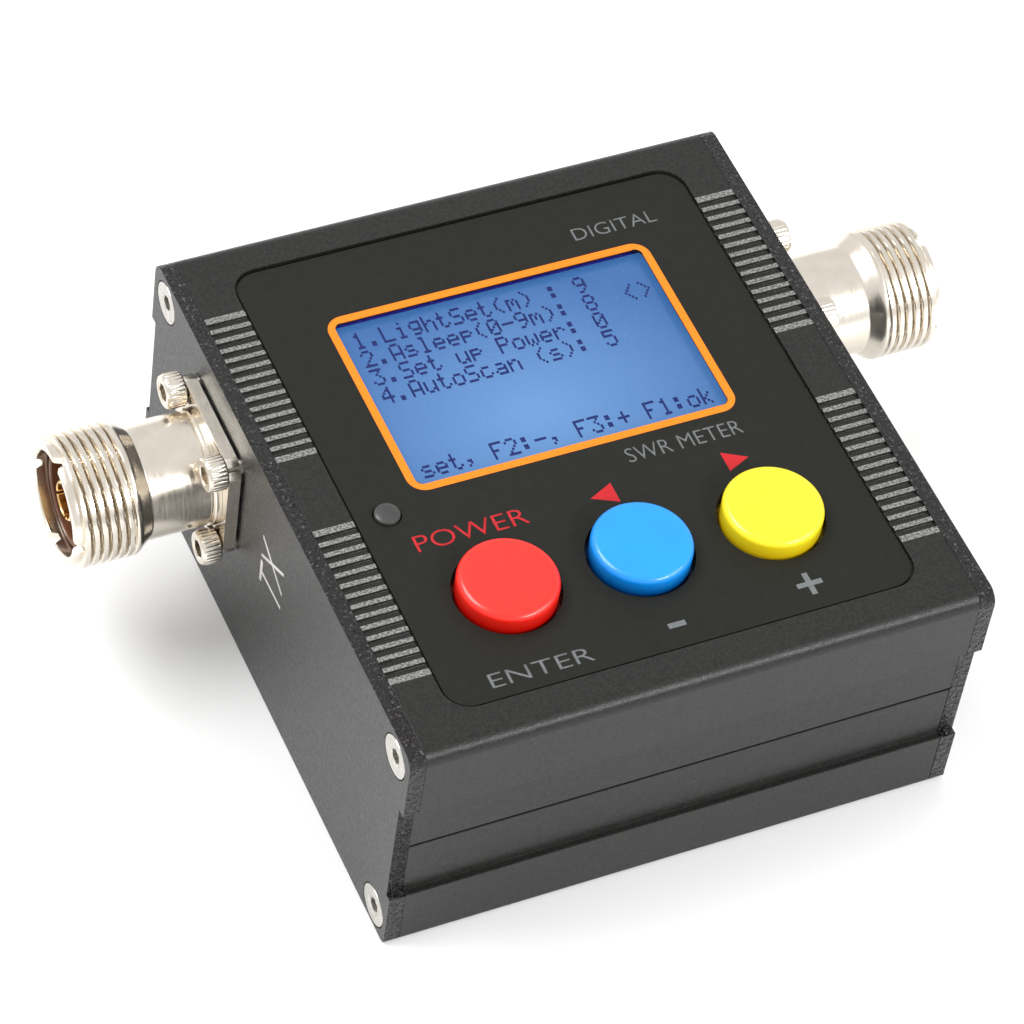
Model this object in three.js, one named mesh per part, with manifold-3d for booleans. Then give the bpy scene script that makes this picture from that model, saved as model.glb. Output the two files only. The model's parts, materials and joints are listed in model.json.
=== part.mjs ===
// A through-line SWR and power meter in a split extruded case, with a UHF socket at each end.
// Millimetres. X runs along the sockets (TX at -X, ANT at +X), -Y is the side with the buttons, +Z is up,
// and the origin is at the middle of the case's underside.
import * as THREE from "three";
import { mergeVertices } from "three/addons/utils/BufferGeometryUtils.js";
import Module from "manifold-3d";

const wasm = await Module();
wasm.setup();

// ---------------------------------------------------------------- driving dimensions

const GAP = 0.3; // between pieces that touch
const ADHESIVE = 0.1; // between a bonded sheet and what it is bonded to
const BEYOND = 1; // how far a cutter runs past the face that it opens

// Sides of the round pieces
const ROUND_SIDES = 28;
const ROD_SIDES = 24;
const LENS_SIDES = 20;
const HOLE_SIDES = 16;
const SMALL_HOLE_SIDES = 12;
const HEX_SIDES = 6;
const ARC_STEPS = 6; // in each arc of an outline
const BUTTON_EDGE_STEPS = 4;

// Case
const CASE_LENGTH = 67; // the extrusion alone, without its end plates
const CASE_DEPTH = 76;
const CASE_HEIGHT = 34.2;
const PLATE_THICKNESS = 1.9;
const WALL = 1.8;
const TOP_THICKNESS = 2.2;
const FLOOR_THICKNESS = 1.8;
const PARTING_Z = 16.7; // where the upper shell meets the lower one
const PARTING_GAP = 0.3;
const STEP_DROP = 9.8; // the side walls step inwards this far below the top
const STEP_IN = 1.1;
const LEDGE_Z = 8.5; // the foot ledge steps outwards below this height
const FOOT_IN = 0.25; // the foot is this far inside the widest part
const TOP_EDGE_RADIUS = 1.8;
const FOOT_EDGE_RADIUS = 0.6;
const TONGUE_HEIGHT = 1.5;
const TONGUE_THICKNESS = 0.7;

// Ribs along the top
const RIB_COUNT = 15; // in each of two groups
const RIB_PITCH = 1.525;
const RIB_GROOVE = 0.7;
const RIB_DEPTH = 0.3;
const RIB_GROUP_Y = 16.4; // middle of a group, either side of the middle

// Panel overlay and its recess
const OVERLAY_END_INSET = 5.2; // from the extrusion's end to the overlay
const OVERLAY_SIDE_INSET = 5.1; // from the widest part of the case to the overlay
const OVERLAY_THICKNESS = 0.3;
const OVERLAY_RADIUS = 3;
const OVERLAY_EDGE_GAP = 0.3;
const RECESS_DEPTH = 0.7;

// Display
const DISPLAY_X = -0.3;
const DISPLAY_Y = 10.0;
const VIEW_LENGTH = 38.8; // clear area of the overlay
const VIEW_DEPTH = 25.2;
const VIEW_RADIUS = 1.2;
const WINDOW_LAP = 1.0; // the lens reaches this far past the clear area
const WINDOW_THICKNESS = 0.5;
const LCD_LAP = 0.6;
const LCD_THICKNESS = 1.6;
const BACKLIGHT_THICKNESS = 2.0;
const BEZEL_WALL = 0.8;

// Buttons, left to right: enter, minus, plus
const BUTTON_NAMES = ["enter", "minus", "plus"];
const BUTTON_COLOURS = [0xf03226, 0x2d9ff2, 0xf7e02e];
const BUTTON_MIDDLE_X = 0.05;
const BUTTON_PITCH = 16.2;
const BUTTON_Y = -19.35;
const BUTTON_RADIUS = 5.8;
const BUTTON_PROUD = 2.1; // top of the cap above the case
const BUTTON_EDGE_RADIUS = 0.9;
const BUTTON_SIDE_GAP = 0.42;
const BUTTON_FLANGE = 0.8; // width of the flange that keeps the cap in
const BUTTON_FLANGE_THICKNESS = 1;
const BUTTON_FLANGE_GAP = 0.6; // from the flange up to the case
const SWITCH_SIDE = 12;
const SWITCH_HEIGHT = 3.3;
const SWITCH_TO_CAP = 0.9; // from the switch to the cap's skirt, more than its travel
const PLUNGER_RADIUS = 1.6;
const PLUNGER_SEAT = 1.4; // depth of the plunger in the switch
const PLUNGER_TOP = 3.2; // height of the plunger over the switch

// Status lamp
const LAMP_TO_VIEW_X = 4.9; // from the clear area's left edge to the lamp's axis
const LAMP_TO_VIEW_Y = 2.8; // from the clear area's front edge to the lamp's axis
const LAMP_RADIUS = 1.5;
const LAMP_FLANGE_RADIUS = 1.9;
const LAMP_FLANGE_THICKNESS = 1;
const LAMP_SHOULDER = 0.3; // from the lens's top to where its round side starts to turn in
const LAMP_BEVEL = 0.45;
const LAMP_CROWN = 0.08; // of the lens's middle over its bevel
const LAMP_PROUD = 0.25;

// Boards
const BOARD_THICKNESS = 1.6;
const BOARD_END_GAP = 0.9; // from the board's edge to the end plate
const RAIL_WIDTH = 1.2;
const RAIL_HEIGHT = 1;
const BOARD_RAIL_GAP = 0.3;
const MCU_SIDE = 12;
const MCU_HEIGHT = 1.4;
const MCU_X = 4;
const MCU_Y = -8;
const COUPLER_END_GAP = 6.5; // from the extrusion's end to the coupler board
const COUPLER_DEPTH = 25;
const COUPLER_HOLE_INSET = 3;
const SPIGOT_RADIUS = 1.6; // foot of a standoff, in the floor
const SPIGOT_DEPTH = 0.9;

// Screws: radius of shank and head, head height, hexagon across flats, depth of the hexagon
const PLATE_SCREW = { shank: 1.2, head: 2.6, height: 1.4, hex: 1.7, hexDepth: 0.8, length: 7 };
const FLANGE_SCREW = { shank: 1, head: 2.1, height: 2.4, hex: 1.9, hexDepth: 1.2, length: 5 };
const BOARD_SCREW = { shank: 1.2, head: 2.3, height: 1.6, hex: 1.6, hexDepth: 0.8, length: 5 };
const PLATE_SCREW_SIDE_INSET = 3.75; // from the widest part of the case
const PLATE_SCREW_TOP_INSET = 3.5;
const PLATE_SCREW_LOW_Z = 2.95;
const BOSS_RADIUS = 2.7;
const COUNTERSINK_GAP = 0.15; // round a countersunk head

// UHF sockets, each measured outwards from its end plate
const SOCKET_Y = 17.3;
const SOCKET_DROP = 12.7; // from the case's top to the socket's axis
const FLANGE_SIDE = 16;
const FLANGE_THICKNESS = 1.8;
const FLANGE_CORNER = 2;
const FLANGE_SCREW_PITCH = 13;
const RING_RADIUS = 6.95; // raised ring at the barrel's root
const RING_WIDTH = 0.8;
const BARREL_RADIUS = 6.75;
const BARREL_END = 10.3;
const THREAD_START = 12.2;
const THREAD_RADIUS = 7.94; // 5/8-24 UNEF
const THREAD_PITCH = 25.4 / 24;
const THREAD_DEPTH = 0.6;
const THREAD_TURNS = 6;
const NOSE_RADIUS = 7.2;
const NOSE_LENGTH = 1.1;
const SOCKET_BORE = 6.2;
const SOCKET_FLOOR = 10.6; // depth of the bore's end, measured from the end plate
const NOTCH_WIDTH = 2;
const NOTCH_DEPTH = 1;
const NECK_BORE = 4;
const REAR_BOSS_RADIUS = 5.5;
const REAR_BOSS_LENGTH = 2.4;
const INSULATOR_FRONT = 2; // thickness of the insulator's disc in the bore
const INSULATOR_LINER = 0.6; // wall of its skirt, which lines the bore
const LINER_RECESS = 1.6; // from the nose back to the skirt's end
const INSULATOR_REAR = 3.6;
const CONTACT_RADIUS = 2.45;
const CONTACT_BORE = 2;
const CONTACT_RECESS = 1.2; // from the nose back to the contact's end
const CONTACT_SLOT = 0.4;
const CONTACT_SLOT_DEPTH = 5;
const CONTACT_PIN = 1.2;
const CONTACT_TAIL = 7;

// Coupler, battery and charging socket
const LINE_RADIUS = 0.9;
const TOROID_BORE = 1.4;
const TOROID_WIDTH = 3.2;
const TOROID_X = 9;
const BATTERY = { length: 50, depth: 32, height: 6 };
const BATTERY_CORNER = 2;
const BATTERY_GAP = 0.55; // from the screw bosses of the front wall to the cell
const USB_WIDTH = 7.7;
const USB_HEIGHT = 4;
const USB_DEPTH = 8.4;
const USB_WALL = 0.4;
const USB_Y = -12;
const USB_RECESS = 0.3; // behind the end plate's outer face

// ---------------------------------------------------------------- values that follow from them

const HALF_LENGTH = CASE_LENGTH / 2;
const HALF_DEPTH = CASE_DEPTH / 2;
const PLATE_FACE = HALF_LENGTH + PLATE_THICKNESS;
const WAIST = HALF_DEPTH - STEP_IN; // outer face of the recessed walls
const FOOT = HALF_DEPTH - FOOT_IN;
const INNER_HIGH = HALF_DEPTH - WALL;
const INNER_LOW = WAIST - WALL;
const INNER_TOP = CASE_HEIGHT - TOP_THICKNESS;
const STEP_Z = CASE_HEIGHT - STEP_DROP;
const SOCKET_Z = CASE_HEIGHT - SOCKET_DROP;
const PLATE_SCREW_Y = HALF_DEPTH - PLATE_SCREW_SIDE_INSET;
const PLATE_SCREW_HIGH_Z = CASE_HEIGHT - PLATE_SCREW_TOP_INSET;
const OVERLAY_LENGTH = CASE_LENGTH - 2 * OVERLAY_END_INSET;
const OVERLAY_DEPTH = CASE_DEPTH - 2 * OVERLAY_SIDE_INSET;
const RECESS_FLOOR = CASE_HEIGHT - RECESS_DEPTH;
const OVERLAY_TOP = RECESS_FLOOR + ADHESIVE + OVERLAY_THICKNESS;
const BUTTON_HOLE = BUTTON_RADIUS + BUTTON_SIDE_GAP;
const BUTTON_TOP = CASE_HEIGHT + BUTTON_PROUD;
const SKIRT_Z = INNER_TOP - BUTTON_FLANGE_GAP - BUTTON_FLANGE_THICKNESS;
const SWITCH_TOP = SKIRT_Z - SWITCH_TO_CAP;
const MAIN_BOARD_TOP = SWITCH_TOP - SWITCH_HEIGHT - ADHESIVE;
const MAIN_BOARD_Z = MAIN_BOARD_TOP - BOARD_THICKNESS;
const BOARD_HALF_LENGTH = HALF_LENGTH - BOARD_END_GAP;
const BOARD_HALF_DEPTH = INNER_LOW - BOARD_RAIL_GAP;
const THREAD_END = THREAD_START + THREAD_TURNS * THREAD_PITCH;
const NOSE_END = THREAD_END + NOSE_LENGTH;
const TOROID_RADIUS = MAIN_BOARD_Z - GAP - SOCKET_Z;
const COUPLER_TOP = SOCKET_Z - TOROID_RADIUS - GAP;
const COUPLER_Z = COUPLER_TOP - BOARD_THICKNESS;
const CONTACT_END = NOSE_END - CONTACT_RECESS;
const INSULATOR_FACE = SOCKET_FLOOR + INSULATOR_FRONT;
const WINDOW_TOP = RECESS_FLOOR - ADHESIVE;
const LCD_TOP = WINDOW_TOP - WINDOW_THICKNESS - ADHESIVE;
const BACKLIGHT_TOP = LCD_TOP - LCD_THICKNESS - GAP;
const BUTTON_XS = BUTTON_NAMES.map((name, i) => BUTTON_MIDDLE_X + (i - 1) * BUTTON_PITCH);
const LAMP_X = DISPLAY_X - VIEW_LENGTH / 2 - LAMP_TO_VIEW_X;
const LAMP_Y = DISPLAY_Y - VIEW_DEPTH / 2 - LAMP_TO_VIEW_Y;

// ---------------------------------------------------------------- solids

function solid(geometry) {
  const flat = geometry.index ? geometry.toNonIndexed() : geometry;
  const bare = new THREE.BufferGeometry().setAttribute("position", flat.getAttribute("position"));
  const merged = mergeVertices(bare, 1e-4);
  const vertProperties = merged.getAttribute("position").array;
  const triVerts = new Uint32Array(merged.index.array);
  return new wasm.Manifold(new wasm.Mesh({ numProp: 3, vertProperties, triVerts }));
}

function geometryOf(shape) {
  const { numProp, vertProperties, triVerts } = shape.getMesh();
  const count = vertProperties.length / numProp;
  const positions = new Float32Array(count * 3);
  for (let i = 0; i < count; i++) {
    positions.set(vertProperties.subarray(i * numProp, i * numProp + 3), i * 3);
  }
  const geometry = new THREE.BufferGeometry();
  geometry.setAttribute("position", new THREE.BufferAttribute(positions, 3));
  geometry.setIndex(new THREE.BufferAttribute(new Uint32Array(triVerts), 1));
  geometry.computeVertexNormals();
  return geometry;
}

const cut = (shape, ...tools) => tools.reduce((rest, tool) => rest.subtract(tool), shape);
const join = (...shapes) => shapes.reduce((sum, shape) => sum.add(shape));

function box([x0, x1], [y0, y1], [z0, z1]) {
  const geometry = new THREE.BoxGeometry(x1 - x0, y1 - y0, z1 - z0);
  return solid(geometry.translate((x0 + x1) / 2, (y0 + y1) / 2, (z0 + z1) / 2));
}

function rodAlongX(radius, x0, x1, y, z, sides = ROD_SIDES) {
  const geometry = new THREE.CylinderGeometry(radius, radius, x1 - x0, sides);
  return solid(geometry.rotateZ(-Math.PI / 2).translate((x0 + x1) / 2, y, z));
}

function rodAlongZ(radius, z0, z1, x, y, sides = ROUND_SIDES) {
  const geometry = new THREE.CylinderGeometry(radius, radius, z1 - z0, sides);
  return solid(geometry.rotateX(Math.PI / 2).translate(x, y, (z0 + z1) / 2));
}

// A shape drawn in Y and Z, drawn out along X.
function alongX(shape, x0, x1, curveSegments = ARC_STEPS) {
  const geometry = new THREE.ExtrudeGeometry(shape, { depth: x1 - x0, bevelEnabled: false, curveSegments });
  const turn = new THREE.Matrix4().makeBasis(
    new THREE.Vector3(0, 1, 0),
    new THREE.Vector3(0, 0, 1),
    new THREE.Vector3(1, 0, 0),
  );
  return solid(geometry.applyMatrix4(turn).translate(x0, 0, 0));
}

// A shape drawn in X and Y, drawn up along Z.
function alongZ(shape, z0, z1, curveSegments = ARC_STEPS) {
  const geometry = new THREE.ExtrudeGeometry(shape, { depth: z1 - z0, bevelEnabled: false, curveSegments });
  return solid(geometry.translate(0, 0, z0));
}

function roundedRectangle(length, depth, radius, x = 0, y = 0) {
  const a = length / 2;
  const b = depth / 2;
  const shape = new THREE.Shape();
  shape.absarc(x + a - radius, y + b - radius, radius, 0, Math.PI / 2);
  shape.absarc(x - a + radius, y + b - radius, radius, Math.PI / 2, Math.PI);
  shape.absarc(x - a + radius, y - b + radius, radius, Math.PI, 1.5 * Math.PI);
  shape.absarc(x + a - radius, y - b + radius, radius, 1.5 * Math.PI, 2 * Math.PI);
  return shape;
}

// A profile of [radius, height] pairs turned about Z, which starts and ends on the axis.
function turned(profile, sides = ROUND_SIDES) {
  const points = profile.map(([radius, height]) => new THREE.Vector2(radius, height));
  return new THREE.LatheGeometry(points, sides).rotateX(Math.PI / 2);
}

// The same, with its heights measured outwards from an end plate's face along the socket's axis.
function turnedOnSocket(profile, side, sides = ROUND_SIDES) {
  const points = profile.map(([radius, out]) => new THREE.Vector2(radius, out));
  const geometry = new THREE.LatheGeometry(points, sides);
  return solid(geometry.rotateZ((-side * Math.PI) / 2).translate(side * PLATE_FACE, SOCKET_Y, SOCKET_Z));
}

// A span on the X axis from two distances outwards from an end plate's face.
function outwards(side, from, to) {
  const ends = [side * (PLATE_FACE + from), side * (PLATE_FACE + to)];
  return ends.sort((a, b) => a - b);
}

// ---------------------------------------------------------------- the group

const swrMeter = new THREE.Group();
swrMeter.name = "swr_meter";

function material(color, roughness, metalness = 0) {
  return () => new THREE.MeshStandardMaterial({ color, roughness, metalness });
}

const anodised = material(0x34332f, 0.5, 0.6);
const film = material(0x383936, 0.55);
const nickel = material(0xcfc6b6, 0.28, 1);
const steel = material(0xd8d2c6, 0.3, 1);
const gold = material(0xe6b04a, 0.25, 1);
const phenolic = material(0x4a2413, 0.5);
const clear = material(0xdfe8f2, 0.08);
const blueGlass = material(0x5b86d8, 0.2);
const whitePlastic = material(0xe8e8e4, 0.5);
const blackPlastic = material(0x1c1c1c, 0.5);
const greyLens = material(0x6f6f6d, 0.3);
const boardGreen = material(0x1f5a35, 0.5);
const ferrite = material(0x3b3f44, 0.8);
const copper = material(0xc27a4a, 0.35, 1);
const brass = material(0xc9a14e, 0.35, 1);
const foil = material(0xb9bcc0, 0.4, 0.6);

function add(name, shape, paint) {
  const mesh = new THREE.Mesh(shape.isBufferGeometry ? shape : geometryOf(shape), paint());
  mesh.name = name;
  swrMeter.add(mesh);
}

// ---------------------------------------------------------------- case

// The closed outline of the case's end, in Y and Z, drawn counterclockwise from the underside.
function caseOutline() {
  const shape = new THREE.Shape();
  const topArc = CASE_HEIGHT - TOP_EDGE_RADIUS;
  shape.moveTo(0, 0);
  shape.absarc(FOOT - FOOT_EDGE_RADIUS, FOOT_EDGE_RADIUS, FOOT_EDGE_RADIUS, -Math.PI / 2, 0);
  shape.lineTo(FOOT, LEDGE_Z);
  shape.lineTo(WAIST, LEDGE_Z);
  shape.lineTo(WAIST, STEP_Z);
  shape.lineTo(HALF_DEPTH, STEP_Z);
  shape.absarc(HALF_DEPTH - TOP_EDGE_RADIUS, topArc, TOP_EDGE_RADIUS, 0, Math.PI / 2);
  shape.absarc(-HALF_DEPTH + TOP_EDGE_RADIUS, topArc, TOP_EDGE_RADIUS, Math.PI / 2, Math.PI);
  shape.lineTo(-HALF_DEPTH, STEP_Z);
  shape.lineTo(-WAIST, STEP_Z);
  shape.lineTo(-WAIST, LEDGE_Z);
  shape.lineTo(-FOOT, LEDGE_Z);
  shape.absarc(-FOOT + FOOT_EDGE_RADIUS, FOOT_EDGE_RADIUS, FOOT_EDGE_RADIUS, Math.PI, 1.5 * Math.PI);
  return shape;
}

// The hollow of the extrusion, with the same step as the outside.
function hollow() {
  const stepped = STEP_Z + WALL;
  const x = [-HALF_LENGTH - BEYOND, HALF_LENGTH + BEYOND];
  const low = box(x, [-INNER_LOW, INNER_LOW], [FLOOR_THICKNESS, INNER_TOP]);
  const high = box(x, [-INNER_HIGH, INNER_HIGH], [stepped, INNER_TOP]);
  return join(low, high);
}

// The places of the four screws of an end plate.
const PLATE_SCREWS = [
  [-PLATE_SCREW_Y, PLATE_SCREW_HIGH_Z],
  [PLATE_SCREW_Y, PLATE_SCREW_HIGH_Z],
  [PLATE_SCREW_Y, PLATE_SCREW_LOW_Z],
  [-PLATE_SCREW_Y, PLATE_SCREW_LOW_Z],
];

function screwBosses() {
  const outline = alongX(caseOutline(), -HALF_LENGTH, HALF_LENGTH);
  const rods = PLATE_SCREWS.map(([y, z]) => rodAlongX(BOSS_RADIUS, -HALF_LENGTH, HALF_LENGTH, y, z));
  return join(...rods).intersect(outline);
}

function screwBores() {
  const end = HALF_LENGTH + BEYOND;
  const radius = PLATE_SCREW.shank + GAP;
  return join(...PLATE_SCREWS.map(([y, z]) => rodAlongX(radius, -end, end, y, z, SMALL_HOLE_SIDES)));
}

function extrusion() {
  const body = cut(alongX(caseOutline(), -HALF_LENGTH, HALF_LENGTH), hollow());
  return cut(join(body, screwBosses()), screwBores());
}

// The tongue of the lower shell, which stands up inside the upper one, grown by a margin on every free side.
function tongues(margin) {
  const inner = [INNER_LOW - margin, INNER_LOW + TONGUE_THICKNESS + margin];
  const z = [PARTING_Z - BEYOND, PARTING_Z + TONGUE_HEIGHT + margin];
  const x = [-HALF_LENGTH - margin, HALF_LENGTH + margin];
  return join(box(x, inner, z), box(x, [-inner[1], -inner[0]], z));
}

// The rails on the side walls that hold the main board by its long edges.
function boardRails() {
  const rails = [];
  for (const side of [-1, 1]) {
    const y = [side * (INNER_LOW - RAIL_WIDTH), side * (INNER_HIGH + GAP)].sort((a, b) => a - b);
    const under = MAIN_BOARD_Z - BOARD_RAIL_GAP;
    const over = MAIN_BOARD_TOP + BOARD_RAIL_GAP;
    rails.push(box([-HALF_LENGTH, HALF_LENGTH], y, [under - RAIL_HEIGHT, under]));
    rails.push(box([-HALF_LENGTH, HALF_LENGTH], y, [over, over + RAIL_HEIGHT]));
  }
  return join(...rails);
}

function ribGrooves() {
  const grooves = [];
  const x = [-HALF_LENGTH - BEYOND, HALF_LENGTH + BEYOND];
  for (const group of [-RIB_GROUP_Y, RIB_GROUP_Y]) {
    for (let i = 0; i < RIB_COUNT - 1; i++) {
      const y = group + (i - (RIB_COUNT - 2) / 2) * RIB_PITCH;
      const across = [y - RIB_GROOVE / 2, y + RIB_GROOVE / 2];
      grooves.push(box(x, across, [CASE_HEIGHT - RIB_DEPTH, CASE_HEIGHT + BEYOND]));
    }
  }
  return join(...grooves);
}

function windowShape(lap) {
  const length = VIEW_LENGTH + 2 * lap;
  const depth = VIEW_DEPTH + 2 * lap;
  return roundedRectangle(length, depth, VIEW_RADIUS, DISPLAY_X, DISPLAY_Y);
}

function upperShell() {
  const recessLength = OVERLAY_LENGTH + 2 * OVERLAY_EDGE_GAP;
  const recessDepth = OVERLAY_DEPTH + 2 * OVERLAY_EDGE_GAP;
  const recess = roundedRectangle(recessLength, recessDepth, OVERLAY_RADIUS + OVERLAY_EDGE_GAP);
  const top = CASE_HEIGHT + BEYOND;
  const under = INNER_TOP - BEYOND;
  const lowerHalf = box(
    [-HALF_LENGTH - BEYOND, HALF_LENGTH + BEYOND],
    [-HALF_DEPTH - BEYOND, HALF_DEPTH + BEYOND],
    [-BEYOND, PARTING_Z + PARTING_GAP / 2],
  );
  return cut(
    join(extrusion(), boardRails()),
    lowerHalf,
    tongues(GAP),
    ribGrooves(),
    alongZ(recess, RECESS_FLOOR, top),
    alongZ(windowShape(WINDOW_LAP + GAP), under, top),
    ...BUTTON_XS.map((x) => rodAlongZ(BUTTON_HOLE, under, top, x, BUTTON_Y)),
    rodAlongZ(LAMP_RADIUS + GAP, under, top, LAMP_X, LAMP_Y, LENS_SIDES),
  );
}

function lowerShell() {
  const upperHalf = box(
    [-HALF_LENGTH - BEYOND, HALF_LENGTH + BEYOND],
    [-HALF_DEPTH - BEYOND, HALF_DEPTH + BEYOND],
    [PARTING_Z - PARTING_GAP / 2, CASE_HEIGHT + BEYOND],
  );
  const seats = STANDOFFS.map(([x, y]) => {
    const floor = FLOOR_THICKNESS - SPIGOT_DEPTH - GAP;
    return rodAlongZ(SPIGOT_RADIUS + GAP, floor, FLOOR_THICKNESS + BEYOND, x, y, SMALL_HOLE_SIDES);
  });
  return cut(join(cut(extrusion(), upperHalf), tongues(0)), ...seats);
}

// Four standoffs stand in seats in the floor, and a screw holds the coupler board down on each.
const COUPLER_HALF_LENGTH = HALF_LENGTH - COUPLER_END_GAP;
const COUPLER_SPAN_Y = [SOCKET_Y - COUPLER_DEPTH / 2, SOCKET_Y + COUPLER_DEPTH / 2];
const STANDOFFS = [-1, 1].flatMap((sideX) =>
  COUPLER_SPAN_Y.map((edge, i) => [
    sideX * (COUPLER_HALF_LENGTH - COUPLER_HOLE_INSET),
    edge + (i ? -COUPLER_HOLE_INSET : COUPLER_HOLE_INSET),
  ]),
);

add("upper_shell", upperShell(), anodised);
add("lower_shell", lowerShell(), anodised);

// ---------------------------------------------------------------- end plates and their screws

// The hexagon of a socket screw, cut along its own axis from the top of its head.
function hexagon(screw, top) {
  const radius = screw.hex / Math.sqrt(3);
  const geometry = new THREE.CylinderGeometry(radius, radius, screw.hexDepth + BEYOND, HEX_SIDES);
  return solid(geometry.rotateX(Math.PI / 2).translate(0, 0, top - screw.hexDepth / 2 + BEYOND / 2));
}

// Screws are drawn standing up on Z, with the underside of the head at 0 and the shank below it.
function capScrew(screw, chamfer = 0.25, sides = SMALL_HOLE_SIDES) {
  const profile = [
    [0, -screw.length],
    [screw.shank, -screw.length],
    [screw.shank, 0],
    [screw.head, 0],
    [screw.head, screw.height - chamfer],
    [screw.head - chamfer, screw.height],
    [0, screw.height],
  ];
  return cut(solid(turned(profile, sides)), hexagon(screw, screw.height));
}

// The top of a countersunk head is at 0.
function countersunkScrew(screw, rim = 0.2, sides = HOLE_SIDES) {
  const profile = [
    [0, -screw.length],
    [screw.shank, -screw.length],
    [screw.shank, -screw.height],
    [screw.head, -rim],
    [screw.head, 0],
    [0, 0],
  ];
  return cut(solid(turned(profile, sides)), hexagon(screw, 0));
}

// Turns a piece that stands on Z to point outwards from an end plate, and moves it into place.
function onPlate(shape, side, out, y, z) {
  const geometry = geometryOf(shape).rotateY((side * Math.PI) / 2);
  return geometry.translate(side * (PLATE_FACE + out), y, z);
}

const FLANGE_SCREWS = [
  [-1, 1],
  [1, 1],
  [1, -1],
  [-1, -1],
].map(([a, b]) => [SOCKET_Y + (a * FLANGE_SCREW_PITCH) / 2, SOCKET_Z + (b * FLANGE_SCREW_PITCH) / 2]);

function flangeScrewHoles(span) {
  const radius = FLANGE_SCREW.shank + GAP;
  return FLANGE_SCREWS.map(([y, z]) => rodAlongX(radius, ...span, y, z, SMALL_HOLE_SIDES));
}

const USB_Z = MAIN_BOARD_TOP + ADHESIVE + USB_HEIGHT / 2;

function endPlate(side) {
  const x = outwards(side, -PLATE_THICKNESS, 0);
  const through = outwards(side, -PLATE_THICKNESS - BEYOND, BEYOND);
  const sink = PLATE_SCREW.height + COUNTERSINK_GAP;
  const sinkProfile = [
    [0, -PLATE_THICKNESS - BEYOND],
    [PLATE_SCREW.shank + GAP, -PLATE_THICKNESS - BEYOND],
    [PLATE_SCREW.shank + GAP, -sink],
    [PLATE_SCREW.head + COUNTERSINK_GAP, -COUNTERSINK_GAP],
    [PLATE_SCREW.head + COUNTERSINK_GAP, BEYOND],
    [0, BEYOND],
  ];
  const sinkTool = solid(turned(sinkProfile, HOLE_SIDES));
  const sinks = PLATE_SCREWS.map(([y, z]) => solid(onPlate(sinkTool, side, 0, y, z)));
  const holes = flangeScrewHoles(through);
  const boss = rodAlongX(REAR_BOSS_RADIUS + GAP, ...through, SOCKET_Y, SOCKET_Z, ROUND_SIDES);
  const plate = cut(alongX(caseOutline(), ...x), boss, ...holes, ...sinks);
  if (side < 0) {
    return plate;
  }
  const usbY = [USB_Y - USB_WIDTH / 2 - GAP, USB_Y + USB_WIDTH / 2 + GAP];
  const usbZ = [USB_Z - USB_HEIGHT / 2 - GAP, USB_Z + USB_HEIGHT / 2 + GAP];
  return cut(plate, box(through, usbY, usbZ));
}

for (const [name, side] of [["tx", -1], ["ant", 1]]) {
  add(`${name}_end_plate`, endPlate(side), anodised);
  PLATE_SCREWS.forEach(([y, z], i) => {
    const screw = onPlate(countersunkScrew(PLATE_SCREW), side, 0, y, z);
    add(`${name}_plate_screw_${i + 1}`, screw, steel);
  });
}

// ---------------------------------------------------------------- UHF sockets

// The thread as rings, each with its root a quarter of a pitch in and its crest at three quarters.
function threadProfile() {
  const points = [];
  for (let turn = 0; turn < THREAD_TURNS; turn++) {
    const start = THREAD_START + turn * THREAD_PITCH;
    points.push([THREAD_RADIUS - THREAD_DEPTH, start + 0.25 * THREAD_PITCH]);
    points.push([THREAD_RADIUS, start + 0.75 * THREAD_PITCH]);
  }
  return points;
}

function socketShell(side) {
  const profile = [
    [0, -REAR_BOSS_LENGTH],
    [REAR_BOSS_RADIUS, -REAR_BOSS_LENGTH],
    [REAR_BOSS_RADIUS, FLANGE_THICKNESS / 2],
    [RING_RADIUS, FLANGE_THICKNESS / 2],
    [RING_RADIUS, FLANGE_THICKNESS + RING_WIDTH],
    [BARREL_RADIUS, FLANGE_THICKNESS + RING_WIDTH],
    [BARREL_RADIUS, BARREL_END],
    [THREAD_RADIUS, THREAD_START],
    ...threadProfile(),
    [NOSE_RADIUS, THREAD_END],
    [NOSE_RADIUS, NOSE_END],
    [0, NOSE_END],
  ];
  const bore = [
    [0, -REAR_BOSS_LENGTH - BEYOND],
    [NECK_BORE, -REAR_BOSS_LENGTH - BEYOND],
    [NECK_BORE, SOCKET_FLOOR],
    [SOCKET_BORE, SOCKET_FLOOR],
    [SOCKET_BORE, NOSE_END + BEYOND],
    [0, NOSE_END + BEYOND],
  ];
  const [x0, x1] = outwards(side, GAP, FLANGE_THICKNESS);
  const flange = alongX(
    roundedRectangle(FLANGE_SIDE, FLANGE_SIDE, FLANGE_CORNER, SOCKET_Y, SOCKET_Z),
    x0,
    x1,
  );
  const through = outwards(side, -BEYOND, FLANGE_THICKNESS + BEYOND);
  const holes = flangeScrewHoles(through);
  const notchX = outwards(side, NOSE_END - NOTCH_DEPTH, NOSE_END + BEYOND);
  const half = NOTCH_WIDTH / 2;
  const reach = NOSE_RADIUS + BEYOND;
  const notches = [
    box(notchX, [SOCKET_Y - half, SOCKET_Y + half], [SOCKET_Z - reach, SOCKET_Z + reach]),
    box(notchX, [SOCKET_Y - reach, SOCKET_Y + reach], [SOCKET_Z - half, SOCKET_Z + half]),
  ];
  const body = join(turnedOnSocket(profile, side), cut(flange, ...holes));
  return cut(body, turnedOnSocket(bore, side), ...notches);
}

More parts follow.
